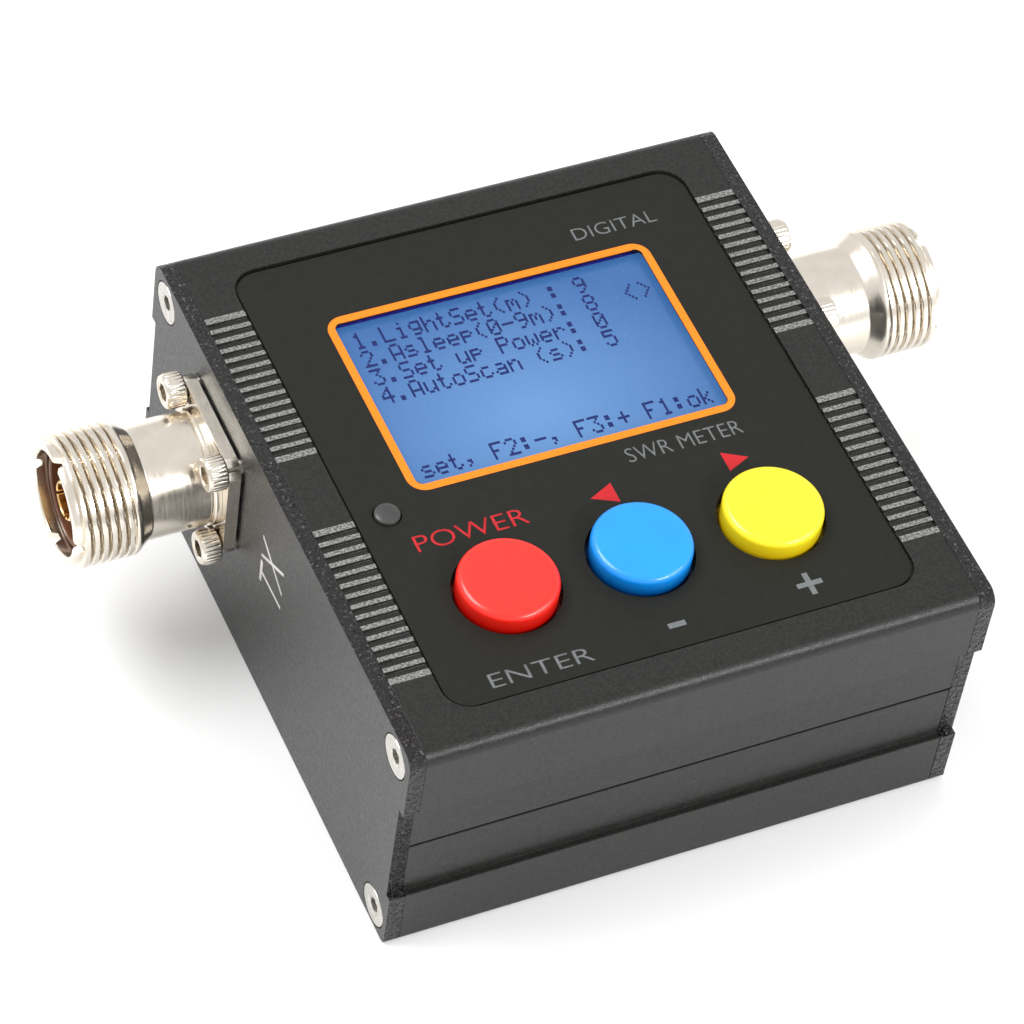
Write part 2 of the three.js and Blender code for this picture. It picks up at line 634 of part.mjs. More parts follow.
function insulator(side) {
  const hole = CONTACT_PIN + GAP;
  const rear = -REAR_BOSS_LENGTH - INSULATOR_REAR + GAP;
  const liner = NOSE_END - LINER_RECESS;
  const profile = [
    [hole, rear],
    [NECK_BORE - GAP, rear],
    [NECK_BORE - GAP, SOCKET_FLOOR + GAP],
    [SOCKET_BORE - GAP, SOCKET_FLOOR + GAP],
    [SOCKET_BORE - GAP, liner],
    [SOCKET_BORE - GAP - INSULATOR_LINER, liner],
    [SOCKET_BORE - GAP - INSULATOR_LINER, INSULATOR_FACE],
    [hole, INSULATOR_FACE],
    [hole, rear],
  ];
  return turnedOnSocket(profile, side);
}

function centreContact(side) {
  const root = INSULATOR_FACE + GAP;
  const slotEnd = CONTACT_END - CONTACT_SLOT_DEPTH;
  const profile = [
    [0, -CONTACT_TAIL],
    [CONTACT_PIN, -CONTACT_TAIL],
    [CONTACT_PIN, root],
    [CONTACT_RADIUS, root],
    [CONTACT_RADIUS, CONTACT_END],
    [CONTACT_BORE, CONTACT_END],
    [CONTACT_BORE, slotEnd],
    [0, slotEnd],
  ];
  const slotX = outwards(side, slotEnd, CONTACT_END + BEYOND);
  const half = CONTACT_SLOT / 2;
  const reach = CONTACT_RADIUS + BEYOND;
  const slots = [
    box(slotX, [SOCKET_Y - half, SOCKET_Y + half], [SOCKET_Z - reach, SOCKET_Z + reach]),
    box(slotX, [SOCKET_Y - reach, SOCKET_Y + reach], [SOCKET_Z - half, SOCKET_Z + half]),
  ];
  return cut(turnedOnSocket(profile, side, ROD_SIDES), ...slots);
}

for (const [name, side] of [["tx", -1], ["ant", 1]]) {
  add(`${name}_connector_shell`, socketShell(side), nickel);
  add(`${name}_insulator`, insulator(side), phenolic);
  add(`${name}_contact`, centreContact(side), gold);
  FLANGE_SCREWS.forEach(([y, z], i) => {
    const screw = onPlate(capScrew(FLANGE_SCREW), side, FLANGE_THICKNESS + ADHESIVE, y, z);
    add(`${name}_connector_screw_${i + 1}`, screw, nickel);
  });
}

// ---------------------------------------------------------------- overlay and display

function panelOverlay() {
  const sheet = alongZ(
    roundedRectangle(OVERLAY_LENGTH, OVERLAY_DEPTH, OVERLAY_RADIUS),
    RECESS_FLOOR + ADHESIVE,
    OVERLAY_TOP,
  );
  return cut(
    sheet,
    alongZ(windowShape(0), INNER_TOP, CASE_HEIGHT + BEYOND),
    ...BUTTON_XS.map((x) => rodAlongZ(BUTTON_HOLE, INNER_TOP, CASE_HEIGHT + BEYOND, x, BUTTON_Y)),
    rodAlongZ(LAMP_RADIUS + GAP / 2, INNER_TOP, CASE_HEIGHT + BEYOND, LAMP_X, LAMP_Y, LENS_SIDES),
  );
}

function displaySpan(lap) {
  const a = VIEW_LENGTH / 2 + lap;
  const b = VIEW_DEPTH / 2 + lap;
  return [[DISPLAY_X - a, DISPLAY_X + a], [DISPLAY_Y - b, DISPLAY_Y + b]];
}

// The frame round the cell and its backlight, which stands on the main board.
function displayBezel() {
  const z = [MAIN_BOARD_TOP + ADHESIVE, INNER_TOP - GAP];
  const outer = box(...displaySpan(LCD_LAP + GAP + BEZEL_WALL), z);
  const inner = box(...displaySpan(LCD_LAP + GAP), [z[0] - BEYOND, z[1] + BEYOND]);
  return cut(outer, inner);
}

add("panel_overlay", panelOverlay(), film);
add("display_window", alongZ(windowShape(WINDOW_LAP), WINDOW_TOP - WINDOW_THICKNESS, WINDOW_TOP), clear);
add("display_bezel", displayBezel(), blackPlastic);
add("lcd_glass", box(...displaySpan(LCD_LAP), [LCD_TOP - LCD_THICKNESS, LCD_TOP]), blueGlass);
const backlightZ = [BACKLIGHT_TOP - BACKLIGHT_THICKNESS, BACKLIGHT_TOP];
add("lcd_backlight", box(...displaySpan(LCD_LAP), backlightZ), whitePlastic);

// ---------------------------------------------------------------- buttons, switches and lamp

function buttonCap(x) {
  const flange = BUTTON_RADIUS + BUTTON_FLANGE;
  const rounded = [];
  for (let i = 0; i <= BUTTON_EDGE_STEPS; i++) {
    const angle = (i * Math.PI) / (2 * BUTTON_EDGE_STEPS);
    rounded.push([
      BUTTON_RADIUS - BUTTON_EDGE_RADIUS * (1 - Math.cos(angle)),
      BUTTON_TOP - BUTTON_EDGE_RADIUS * (1 - Math.sin(angle)),
    ]);
  }
  const seat = PLUNGER_RADIUS + GAP;
  const profile = [
    [seat, SKIRT_Z],
    [flange, SKIRT_Z],
    [flange, SKIRT_Z + BUTTON_FLANGE_THICKNESS],
    [BUTTON_RADIUS, SKIRT_Z + BUTTON_FLANGE_THICKNESS],
    ...rounded,
    [0, BUTTON_TOP],
    [0, SWITCH_TOP + PLUNGER_TOP + GAP],
    [seat, SWITCH_TOP + PLUNGER_TOP + GAP],
    [seat, SKIRT_Z],
  ];
  return turned(profile).translate(x, BUTTON_Y, 0);
}

function switchBody(x) {
  const half = SWITCH_SIDE / 2;
  const z = [MAIN_BOARD_TOP + ADHESIVE, SWITCH_TOP];
  const body = box([x - half, x + half], [BUTTON_Y - half, BUTTON_Y + half], z);
  const seatZ = [SWITCH_TOP - PLUNGER_SEAT - 2 * GAP, SWITCH_TOP + BEYOND];
  return cut(body, rodAlongZ(PLUNGER_RADIUS + GAP, ...seatZ, x, BUTTON_Y));
}

BUTTON_NAMES.forEach((name, i) => {
  const x = BUTTON_XS[i];
  add(`${name}_button_cap`, solid(buttonCap(x)), material(BUTTON_COLOURS[i], 0.25));
  add(`${name}_switch`, switchBody(x), blackPlastic);
  const plungerZ = [SWITCH_TOP - PLUNGER_SEAT, SWITCH_TOP + PLUNGER_TOP];
  const plunger = rodAlongZ(PLUNGER_RADIUS, ...plungerZ, x, BUTTON_Y, LENS_SIDES);
  add(`${name}_plunger`, plunger, whitePlastic);
});

const LAMP_TOP = CASE_HEIGHT + LAMP_PROUD;
const lampProfile = [
  [0, MAIN_BOARD_TOP + ADHESIVE],
  [LAMP_FLANGE_RADIUS, MAIN_BOARD_TOP + ADHESIVE],
  [LAMP_FLANGE_RADIUS, MAIN_BOARD_TOP + ADHESIVE + LAMP_FLANGE_THICKNESS],
  [LAMP_RADIUS, MAIN_BOARD_TOP + ADHESIVE + LAMP_FLANGE_THICKNESS],
  [LAMP_RADIUS, LAMP_TOP - LAMP_SHOULDER],
  [LAMP_RADIUS - LAMP_BEVEL, LAMP_TOP - LAMP_CROWN],
  [0, LAMP_TOP],
];
add("status_lamp", solid(turned(lampProfile, LENS_SIDES).translate(LAMP_X, LAMP_Y, 0)), greyLens);

// ---------------------------------------------------------------- boards

// The main board, notched at both ends round the rear of the sockets.
function mainBoard() {
  const z = [MAIN_BOARD_Z, MAIN_BOARD_TOP];
  const cutZ = [MAIN_BOARD_Z - BEYOND, MAIN_BOARD_TOP + BEYOND];
  const reach = REAR_BOSS_LENGTH + INSULATOR_REAR + GAP;
  const notchY = [SOCKET_Y - REAR_BOSS_RADIUS - GAP, SOCKET_Y + REAR_BOSS_RADIUS + GAP];
  const notches = [-1, 1].map((side) => box(outwards(side, -PLATE_THICKNESS - reach, 0), notchY, cutZ));
  const sheet = box([-BOARD_HALF_LENGTH, BOARD_HALF_LENGTH], [-BOARD_HALF_DEPTH, BOARD_HALF_DEPTH], z);
  return cut(sheet, ...notches);
}

function microcontroller() {
  const half = MCU_SIDE / 2;
  const top = MAIN_BOARD_Z - ADHESIVE;
  return box([MCU_X - half, MCU_X + half], [MCU_Y - half, MCU_Y + half], [top - MCU_HEIGHT, top]);
}

function couplerBoard() {
  const sheet = box([-COUPLER_HALF_LENGTH, COUPLER_HALF_LENGTH], COUPLER_SPAN_Y, [COUPLER_Z, COUPLER_TOP]);
  const holes = STANDOFFS.map(([x, y]) => {
    return rodAlongZ(BOARD_SCREW.shank + GAP, COUPLER_Z - BEYOND, COUPLER_TOP + BEYOND, x, y, HOLE_SIDES);
  });
  return cut(sheet, ...holes);
}

add("main_board", mainBoard(), boardGreen);
add("microcontroller", microcontroller(), blackPlastic);
add("coupler_board", couplerBoard(), boardGreen);

// ---------------------------------------------------------------- coupler

const LINE_END = PLATE_FACE - CONTACT_TAIL - GAP;
add("through_line", rodAlongX(LINE_RADIUS, -LINE_END, LINE_END, SOCKET_Y, SOCKET_Z, HOLE_SIDES), copper);

function toroid(x, y) {
  const ring = rodAlongX(TOROID_RADIUS, x - TOROID_WIDTH / 2, x + TOROID_WIDTH / 2, y, SOCKET_Z);
  const reach = TOROID_WIDTH / 2 + BEYOND;
  return cut(ring, rodAlongX(TOROID_BORE, x - reach, x + reach, y, SOCKET_Z, HOLE_SIDES));
}

add("current_toroid", toroid(-TOROID_X, SOCKET_Y), ferrite);
add("voltage_toroid", toroid(TOROID_X, SOCKET_Y - 2 * TOROID_RADIUS - GAP), ferrite);

// ---------------------------------------------------------------- standoffs, battery and charging socket

STANDOFFS.forEach(([x, y], i) => {
  const standoffZ = [FLOOR_THICKNESS + ADHESIVE, COUPLER_Z - ADHESIVE];
  const sleeve = rodAlongZ(BOARD_SCREW.head, ...standoffZ, x, y, HEX_SIDES);
  const spigotZ = [FLOOR_THICKNESS - SPIGOT_DEPTH, standoffZ[0] + BEYOND];
  const spigot = rodAlongZ(SPIGOT_RADIUS, ...spigotZ, x, y, SMALL_HOLE_SIDES);
  const boreZ = [standoffZ[1] - BOARD_SCREW.length - BEYOND, standoffZ[1] + BEYOND];
  const bore = rodAlongZ(BOARD_SCREW.shank + GAP, ...boreZ, x, y, SMALL_HOLE_SIDES);
  add(`coupler_standoff_${i + 1}`, cut(join(sleeve, spigot), bore), brass);
  const screw = geometryOf(capScrew(BOARD_SCREW));
  add(`coupler_screw_${i + 1}`, screw.translate(x, y, COUPLER_TOP + ADHESIVE), steel);
});

const BATTERY_Y = BOSS_RADIUS - PLATE_SCREW_Y + BATTERY_GAP + BATTERY.depth / 2;
const BATTERY_Z = FLOOR_THICKNESS + ADHESIVE;
const cell = roundedRectangle(BATTERY.length, BATTERY.depth, BATTERY_CORNER, 0, BATTERY_Y);
add("battery", alongZ(cell, BATTERY_Z, BATTERY_Z + BATTERY.height), foil);

function chargeSocket() {
  const x1 = PLATE_FACE - USB_RECESS;
  const x0 = x1 - USB_DEPTH;
  const a = USB_WIDTH / 2;
  const b = USB_HEIGHT / 2;
  const outer = box([x0, x1], [USB_Y - a, USB_Y + a], [USB_Z - b, USB_Z + b]);
  const inner = box(
    [x0 + USB_WALL, x1 + BEYOND],
    [USB_Y - a + USB_WALL, USB_Y + a - USB_WALL],
    [USB_Z - b + USB_WALL, USB_Z + b - USB_WALL],
  );
  return cut(outer, inner);
}

add("charge_socket", chargeSocket(), steel);

export default swrMeter;
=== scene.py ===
"""The looks of the SWR meter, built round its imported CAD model. Sizes are in millimetres, times MM."""

import json
import math

import bmesh
import bpy
from mathutils import Matrix, Vector


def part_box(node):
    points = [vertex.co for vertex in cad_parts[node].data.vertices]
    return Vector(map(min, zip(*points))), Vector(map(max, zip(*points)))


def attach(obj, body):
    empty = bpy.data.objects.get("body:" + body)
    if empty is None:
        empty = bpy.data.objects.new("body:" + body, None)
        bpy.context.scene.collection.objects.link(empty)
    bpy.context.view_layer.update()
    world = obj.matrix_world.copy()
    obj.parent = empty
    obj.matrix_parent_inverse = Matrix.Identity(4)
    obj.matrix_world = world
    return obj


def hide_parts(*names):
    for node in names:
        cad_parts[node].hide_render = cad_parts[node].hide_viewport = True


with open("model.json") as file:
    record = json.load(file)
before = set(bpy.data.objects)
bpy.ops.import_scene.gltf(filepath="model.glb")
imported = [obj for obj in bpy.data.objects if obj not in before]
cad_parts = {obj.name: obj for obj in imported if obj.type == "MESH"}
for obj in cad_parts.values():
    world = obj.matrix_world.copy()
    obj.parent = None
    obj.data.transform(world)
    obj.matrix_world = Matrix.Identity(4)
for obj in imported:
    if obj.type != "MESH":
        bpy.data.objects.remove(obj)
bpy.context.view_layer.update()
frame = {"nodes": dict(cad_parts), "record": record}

MM = 0.001
SIDES = {"tx": -1, "ant": 1}
BUTTONS = {"enter": "button_red", "minus": "button_blue", "plus": "button_yellow"}


def span(node):
    """The two corners of a CAD node's box, in millimetres."""
    low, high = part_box(node)
    return low / MM, high / MM


def middle(node):
    """The middle of a CAD node's box, in X and Y."""
    low, high = span(node)
    return (low.x + high.x) / 2, (low.y + high.y) / 2


# ---------------------------------------------------------------- sizes

GAP = 0.3  # between pieces that touch

CASE_LOW, CASE_HIGH = span("upper_shell")
LOWER_LOW, LOWER_HIGH = span("lower_shell")
TOP = CASE_HIGH.z
HALF_LENGTH = CASE_HIGH.x
HALF_DEPTH = CASE_HIGH.y
FOOT = LOWER_HIGH.y
PLATE_FACE = span("ant_end_plate")[1].x
PARTING = CASE_LOW.z
PARTING_LOW = 16.55
WALL = 1.8
STEP_Z = 24.4
WAIST = HALF_DEPTH - 1.1
LEDGE_Z = 8.5
FLOOR = 1.8
CEILING = TOP - 2.2
EDGE_RADIUS = 1.8
FOOT_RADIUS = 0.6
UPPER_BEVEL = 0.1
LOWER_BEVEL = 0.18
PLATE_BEVEL = 0.12

RIB_GROUPS = (-16.4, 16.4)
RIB_COUNT = 15
RIB_PITCH = 1.525
RIB_GROOVE = 0.74
RIB_DEPTH = 0.3
GROOVE_SHOULDER = ((0.62, 0.0), (0.52, 0.3), (0.48, 0.85), (0.4, 1.0))  # in groove widths and depths

FILM_LOW, FILM_HIGH = span("panel_overlay")
FILM_TOP = FILM_HIGH.z
FILM_RADIUS = 3.0
RECESS_FLOOR = FILM_LOW.z - 0.1

LENS_LOW, LENS_HIGH = span("display_window")
LENS_LAP = 1.0
VIEW_RADIUS = 1.2
BORDER_WIDTH = 0.95

SOCKET_Y = sum(c.y for c in span("ant_connector_shell")) / 2
SOCKET_Z = sum(c.z for c in span("ant_connector_shell")) / 2
NOSE_END = span("ant_connector_shell")[1].x - PLATE_FACE
FLANGE = 16.0
FLANGE_THICKNESS = 1.8
FLANGE_CORNER = 2.0
FLANGE_HOLE = 1.3
FLANGE_HOLE_OUT = 6.5
REAR_RADIUS = 5.5
REAR_LENGTH = 2.4
NECK_RADIUS = 4.0
RING_RADIUS = 6.95
RING_WIDTH = 0.8
BARREL_RADIUS = 6.75
BARREL_END = 10.0
THREAD_START = 12.2
THREAD_END = NOSE_END - 1.1
THREAD_RADIUS = 7.94
THREAD_PITCH = 25.4 / 24
THREAD_DEPTH = 0.62
THREAD_FLANK = 4.6  # how steeply a ridge rises from its groove, in depths a turn
THREAD_RUN_IN = 0.5
THREAD_RUN_OUT = 0.35
THREAD_STEPS = 72
NOSE_RADIUS = 7.2
BORE_RADIUS = 6.2
BORE_FLOOR = 10.6
INSULATOR_FACE = BORE_FLOOR + 2
NOTCH_DEPTH = 1.0
NOTCH_MOUTH = 1.05  # half the width
NOTCH_FOOT = 0.42

SCREWS_IN_PLATE = 4
SINK_HOLE = 1.5
SINK_RADIUS = 2.72
SINK_DEPTH = 1.6
CUT_IN = 4  # how far a cutter goes into a plate or flange
CUT_OUT = 1  # and how far it stands out of it

INK_LIFT = 0.02


# ---------------------------------------------------------------- meshes


def link(name, mesh):
    piece = bpy.data.objects.new(name, mesh)
    bpy.context.scene.collection.objects.link(piece)
    return piece


def from_lists(name, points, faces):
    """A mesh object from points in millimetres."""
    mesh = bpy.data.meshes.new(name)
    mesh.from_pydata([Vector(p) * MM for p in points], [], faces)
    mesh.validate()
    build = bmesh.new()
    build.from_mesh(mesh)
    bmesh.ops.remove_doubles(build, verts=build.verts, dist=1e-7)
    bmesh.ops.recalc_face_normals(build, faces=build.faces)
    build.to_mesh(mesh)
    build.free()
    return link(name, mesh)


def prism(name, outline, low, high, place):
    """An outline of flat points, drawn out between two heights. place makes (a, b, height) a point."""
    n = len(outline)
    points = [place(a, b, h) for h in (low, high) for a, b in outline]
    walls = [(i, (i + 1) % n, n + (i + 1) % n, n + i) for i in range(n)]
    return from_lists(name, points, [tuple(range(n))[::-1], tuple(range(n, 2 * n)), *walls])


def along_x(a, b, height):
    return (height, a, b)


def along_y(a, b, height):
    return (a, height, b)


def along_z(a, b, height):
    return (a, b, height)


def arc(centre_a, centre_b, radius, start, end, steps):
    """Points on an arc, with its angles in degrees."""
    angles = [math.radians(start + (end - start) * i / steps) for i in range(steps + 1)]
    return [(centre_a + radius * math.cos(t), centre_b + radius * math.sin(t)) for t in angles]


def rounded(low, high, radius, steps=8):
    """A rectangle with round corners, between two corners."""
    return [
        *arc(high[0] - radius, high[1] - radius, radius, 0, 90, steps),
        *arc(low[0] + radius, high[1] - radius, radius, 90, 180, steps),
        *arc(low[0] + radius, low[1] + radius, radius, 180, 270, steps),
        *arc(high[0] - radius, low[1] + radius, radius, 270, 360, steps),
    ]


def grown(low, high, margin):
    return (low[0] - margin, low[1] - margin), (high[0] + margin, high[1] + margin)


def frame_ring(name, inner, outer, low, high):
    """A flat ring between two outlines with the same number of points."""
    n = len(inner)
    points = [(a, b, h) for h in (low, high) for outline in (inner, outer) for a, b in outline]
    faces = []
    for i in range(n):
        j = (i + 1) % n
        faces.append((i, n + i, n + j, j))
        faces.append((2 * n + i, 2 * n + j, 3 * n + j, 3 * n + i))
        faces.append((i, j, 2 * n + j, 2 * n + i))
        faces.append((n + i, 3 * n + i, 3 * n + j, n + j))
    return from_lists(name, points, faces)


def revolved(name, rows, sides=96):
    """Rows of (radius, height) turned about Z. A radius may be a function of the angle.

    A radius of 0 closes on the axis, and rows that don't start on the axis close on each other."""
    points = []
    rings = []
    for radius, height in rows:
        if radius == 0:
            rings.append([len(points)] * sides)
            points.append((0, 0, height))
            continue
        first = len(points)
        for i in range(sides):
            t = 2 * math.pi * i / sides
            r = radius(t) if callable(radius) else radius
            points.append((r * math.cos(t), r * math.sin(t), height))
        rings.append(list(range(first, first + sides)))
    pairs = list(zip(rings, rings[1:]))
    if rows[0][0] != 0:
        pairs.append((rings[-1], rings[0]))
    faces = []
    for a, b in pairs:
        for i in range(sides):
            j = (i + 1) % sides
            corners = list(dict.fromkeys((a[i], a[j], b[j], b[i])))
            if len(corners) > 2:
                faces.append(tuple(corners))
    return from_lists(name, points, faces)


def baked(piece):
    """Applies the piece's modifiers."""
    graph = bpy.context.evaluated_depsgraph_get()
    mesh = bpy.data.meshes.new_from_object(piece.evaluated_get(graph))
    piece.modifiers.clear()
    piece.data = mesh
    return piece


def carved(piece, tools):
    """Cuts the tools from the piece, and removes them."""
    for tool in tools:
        step = piece.modifiers.new("cut", "BOOLEAN")
        step.operation = "DIFFERENCE"
        step.solver = "EXACT"
        step.object = tool
    baked(piece)
    for tool in tools:
        bpy.data.objects.remove(tool)
    return piece


def gathered(piece, other):
    """Adds another piece's mesh to this one's, as a second closed shell."""
    build = bmesh.new()
    build.from_mesh(piece.data)
    build.from_mesh(other.data)
    build.to_mesh(piece.data)
    build.free()
    bpy.data.objects.remove(other)
    return piece


def bevelled(piece, width, segments=2, angle=60):
    step = piece.modifiers.new("bevel", "BEVEL")
    step.width = width * MM
    step.segments = segments
    step.limit_method = "ANGLE"
    step.angle_limit = math.radians(angle)
    step.use_clamp_overlap = True
    step.harden_normals = False
    return baked(piece)


def smoothed(piece, angle=32):
    """Smooth shading between sharp edges, with the flat faces kept flat."""
    mesh = piece.data
    mesh.polygons.foreach_set("use_smooth", [True] * len(mesh.polygons))
    mesh.set_sharp_from_angle(angle=math.radians(angle))
    step = piece.modifiers.new("normals", "WEIGHTED_NORMAL")
    step.keep_sharp = True
    return baked(piece)


def moved(piece, matrix):
    piece.data.transform(matrix)
    return piece


def copied(piece, name):
    return link(name, piece.data.copy())


def on_plate(side, out, y, z):
    """Stands a piece that points up Z on an end plate, pointing outwards."""
    place = Matrix.Translation(Vector((side * (PLATE_FACE + out), y, z)) * MM)
    return place @ Matrix.Rotation(side * math.pi / 2, 4, "Y")


def rod(name, radius, low, high, x, y, sides=96):
    piece = revolved(name, [(0, low), (radius, low), (radius, high), (0, high)], sides)
    return moved(piece, Matrix.Translation(Vector((x, y, 0)) * MM))


# ---------------------------------------------------------------- materials


class Surface:
    """A procedural material: one Principled shader, with its detail built up by the methods below."""

    def __init__(self, name, colour, roughness, metallic=0.0):
        self.material = bpy.data.materials.new(name)
        self.material.use_nodes = True
        self.tree = self.material.node_tree
        self.shader = self.tree.nodes["Principled BSDF"]
        self.colour = (*colour, 1.0)
        self.roughness = roughness
        self.bump = None
        self.shader.inputs["Base Color"].default_value = self.colour
        self.shader.inputs["Roughness"].default_value = roughness
        self.shader.inputs["Metallic"].default_value = metallic
        self.place = self.node("ShaderNodeTexCoord").outputs["Object"]

    def node(self, kind, **values):
        made = self.tree.nodes.new(kind)
        for key, value in values.items():
            setattr(made, key, value)
        return made

    def join(self, source, target):
        self.tree.links.new(source, target)

    def noise(self, size, stretch=(1, 1, 1), detail=3.0):
        """A noise whose grains are about size millimetres, drawn out along an axis by its stretch."""
        mapping = self.node("ShaderNodeMapping")
        mapping.inputs["Scale"].default_value = [1 / (size * MM * s) for s in stretch]
        self.join(self.place, mapping.inputs["Vector"])
        made = self.node("ShaderNodeTexNoise")
        made.inputs["Scale"].default_value = 1.0
        made.inputs["Detail"].default_value = detail
        self.join(mapping.outputs["Vector"], made.inputs["Vector"])
        return made.outputs["Fac"]

    def ranged(self, source, low, high, start=0.3, end=0.7):
        made = self.node("ShaderNodeMapRange")
        for key, value in (("From Min", start), ("From Max", end), ("To Min", low), ("To Max", high)):
            made.inputs[key].default_value = value
        self.join(source, made.inputs["Value"])
        return made.outputs["Result"]

    def mixed(self, factor, first, second):
        made = self.node("ShaderNodeMix", data_type="RGBA")
        for socket, value in ((made.inputs[6], first), (made.inputs[7], second)):
            if isinstance(value, tuple):
                socket.default_value = (*value, 1.0)
            else:
                self.join(value, socket)
        self.join(factor, made.inputs[0])
        return made.outputs[2]

    def tint(self, size, other, stretch=(1, 1, 1), start=0.35, end=0.65):
        """The colour drifts to another one in patches of about size millimetres."""
        factor = self.ranged(self.noise(size, stretch), 0.0, 1.0, start, end)
        self.join(self.mixed(factor, self.colour[:3], other), self.shader.inputs["Base Color"])
        return self

    def gloss(self, size, spread, stretch=(1, 1, 1)):
        """The roughness varies by spread either way."""
        low, high = max(0.02, self.roughness - spread), self.roughness + spread
        result = self.ranged(self.noise(size, stretch), low, high)
        self.join(result, self.shader.inputs["Roughness"])
        return self

    def relief(self, size, depth, stretch=(1, 1, 1), strength=1.0):
        """Fine relief of about depth millimetres, on top of any relief already made."""
        bump = self.node("ShaderNodeBump")
        bump.inputs["Strength"].default_value = strength
        bump.inputs["Distance"].default_value = depth * MM
        self.join(self.noise(size, stretch), bump.inputs["Height"])
        if self.bump:
            self.join(self.bump, bump.inputs["Normal"])
        self.bump = bump.outputs["Normal"]
        self.join(self.bump, self.shader.inputs["Normal"])
        return self

    def coat(self, weight, roughness=0.05):
        self.shader.inputs["Coat Weight"].default_value = weight
        self.shader.inputs["Coat Roughness"].default_value = roughness
        return self


def case_finish():
    made = Surface("case_anodised", (0.0085, 0.0082, 0.0076), 0.32)
    made.shader.inputs["Specular IOR Level"].default_value = 0.32
    made.tint(0.35, (0.017, 0.0165, 0.0155))
    return made.gloss(0.5, 0.06).relief(0.18, 0.035).relief(0.5, 0.02, (12, 1, 1), 0.5)


def sawn_finish():
    made = Surface("case_sawn_edge", (0.006, 0.006, 0.0056), 0.16)
    made.shader.inputs["Specular IOR Level"].default_value = 0.35
    made.tint(0.4, (0.1, 0.1, 0.097), (1, 1, 0.7), 0.58, 0.7)
    return made.gloss(0.3, 0.1).relief(0.7, 1.2).relief(0.3, 0.4)


def rib_finish():
    made = Surface("rib_crests", (0.085, 0.084, 0.08), 0.4, 0.35)
    made.tint(0.2, (0.27, 0.27, 0.26), (1.6, 1, 1), 0.42, 0.58)
    return made.gloss(0.2, 0.12, (2, 1, 1)).relief(0.18, 0.09, (1.5, 1, 1))


def film_finish():
    made = Surface("overlay_film", (0.0105, 0.0108, 0.0085), 0.5)
    made.shader.inputs["Specular IOR Level"].default_value = 0.17
    made.tint(0.9, (0.0122, 0.0126, 0.01))
    return made.gloss(1.4, 0.04).relief(0.12, 0.006)


def nickel_finish():
    made = Surface("nickel_plate", (0.82, 0.76, 0.67), 0.22, 1.0)
    made.tint(2.6, (0.76, 0.695, 0.6))
    return made.gloss(0.7, 0.05, (0.4, 3, 3)).relief(0.25, 0.001, (0.3, 4, 4))


def groove_finish():
    made = Surface("thread_roots", (0.6, 0.54, 0.455), 0.3, 1.0)
    made.tint(0.5, (0.48, 0.42, 0.345), (3, 3, 0.5))
    return made.gloss(0.4, 0.08).relief(0.3, 0.004)


def steel_finish():
    made = Surface("screw_steel", (0.62, 0.6, 0.565), 0.32, 1.0)
    made.tint(0.8, (0.53, 0.51, 0.47))
    return made.gloss(0.4, 0.08).relief(0.2, 0.01)


def gold_finish():
    made = Surface("gold_contact", (0.86, 0.6, 0.27), 0.2, 1.0)
    made.tint(0.7, (0.74, 0.47, 0.18))
    return made.gloss(0.3, 0.07).relief(0.2, 0.006)


def moulded(name, colour, other, roughness=0.4):
    """Plain moulded plastic."""
    made = Surface(name, colour, roughness)
    made.tint(1.2, other)
    return made.gloss(0.8, 0.05).relief(0.3, 0.01)


# The foot argument is the colour of the painted shade low on the cap's side.
def button_finish(name, colour, other, foot):
    """Glossy plastic with the faint flow of its moulding, and painted shade: a deeper colour towards its
    foot, where the cap's side sits in the shadow of its hole.
    """
    made = Surface(name, colour, 0.32)
    patches = made.ranged(made.noise(5.0), 0.0, 1.0, 0.35, 0.65)
    height = made.node("ShaderNodeSeparateXYZ")
    made.join(made.place, height.inputs["Vector"])
    # Painted shade: the colour goes over to the foot colour from TOP + 1.3 mm down to TOP - 0.6 mm,
    # where the hole shades the side.
    painted_shade_amount = made.ranged(height.outputs["Z"], 1.0, 0.0, (TOP - 0.6) * MM, (TOP + 1.3) * MM)
    colour_with_painted_shade = made.mixed(painted_shade_amount, made.mixed(patches, colour, other), foot)
    made.join(colour_with_painted_shade, made.shader.inputs["Base Color"])
    made.gloss(1.5, 0.04).relief(1.6, 0.012).relief(0.2, 0.003)
    made.shader.inputs["Subsurface Weight"].default_value = 0.06
    made.shader.inputs["Subsurface Radius"].default_value = (0.004, 0.002, 0.001)
    return made.coat(0.35, 0.12)


# The last colour of each button is the colour of its painted shade at the foot.
def red_finish():
    return button_finish("button_red", (0.86, 0.016, 0.006), (0.82, 0.013, 0.005), (0.5, 0.003, 0.001))


def blue_finish():
    return button_finish("button_blue", (0.0, 0.26, 0.8), (0.0, 0.24, 0.76), (0.0, 0.045, 0.2))


def yellow_finish():
    return button_finish("button_yellow", (0.94, 0.76, 0.012), (0.91, 0.72, 0.01), (0.68, 0.46, 0.004))


def ink(name, colour, other):
    made = Surface(name, colour, 0.5)
    made.shader.inputs["Specular IOR Level"].default_value = 0.25
    made.tint(0.4, other)
    return made.gloss(0.3, 0.04).relief(0.1, 0.004)


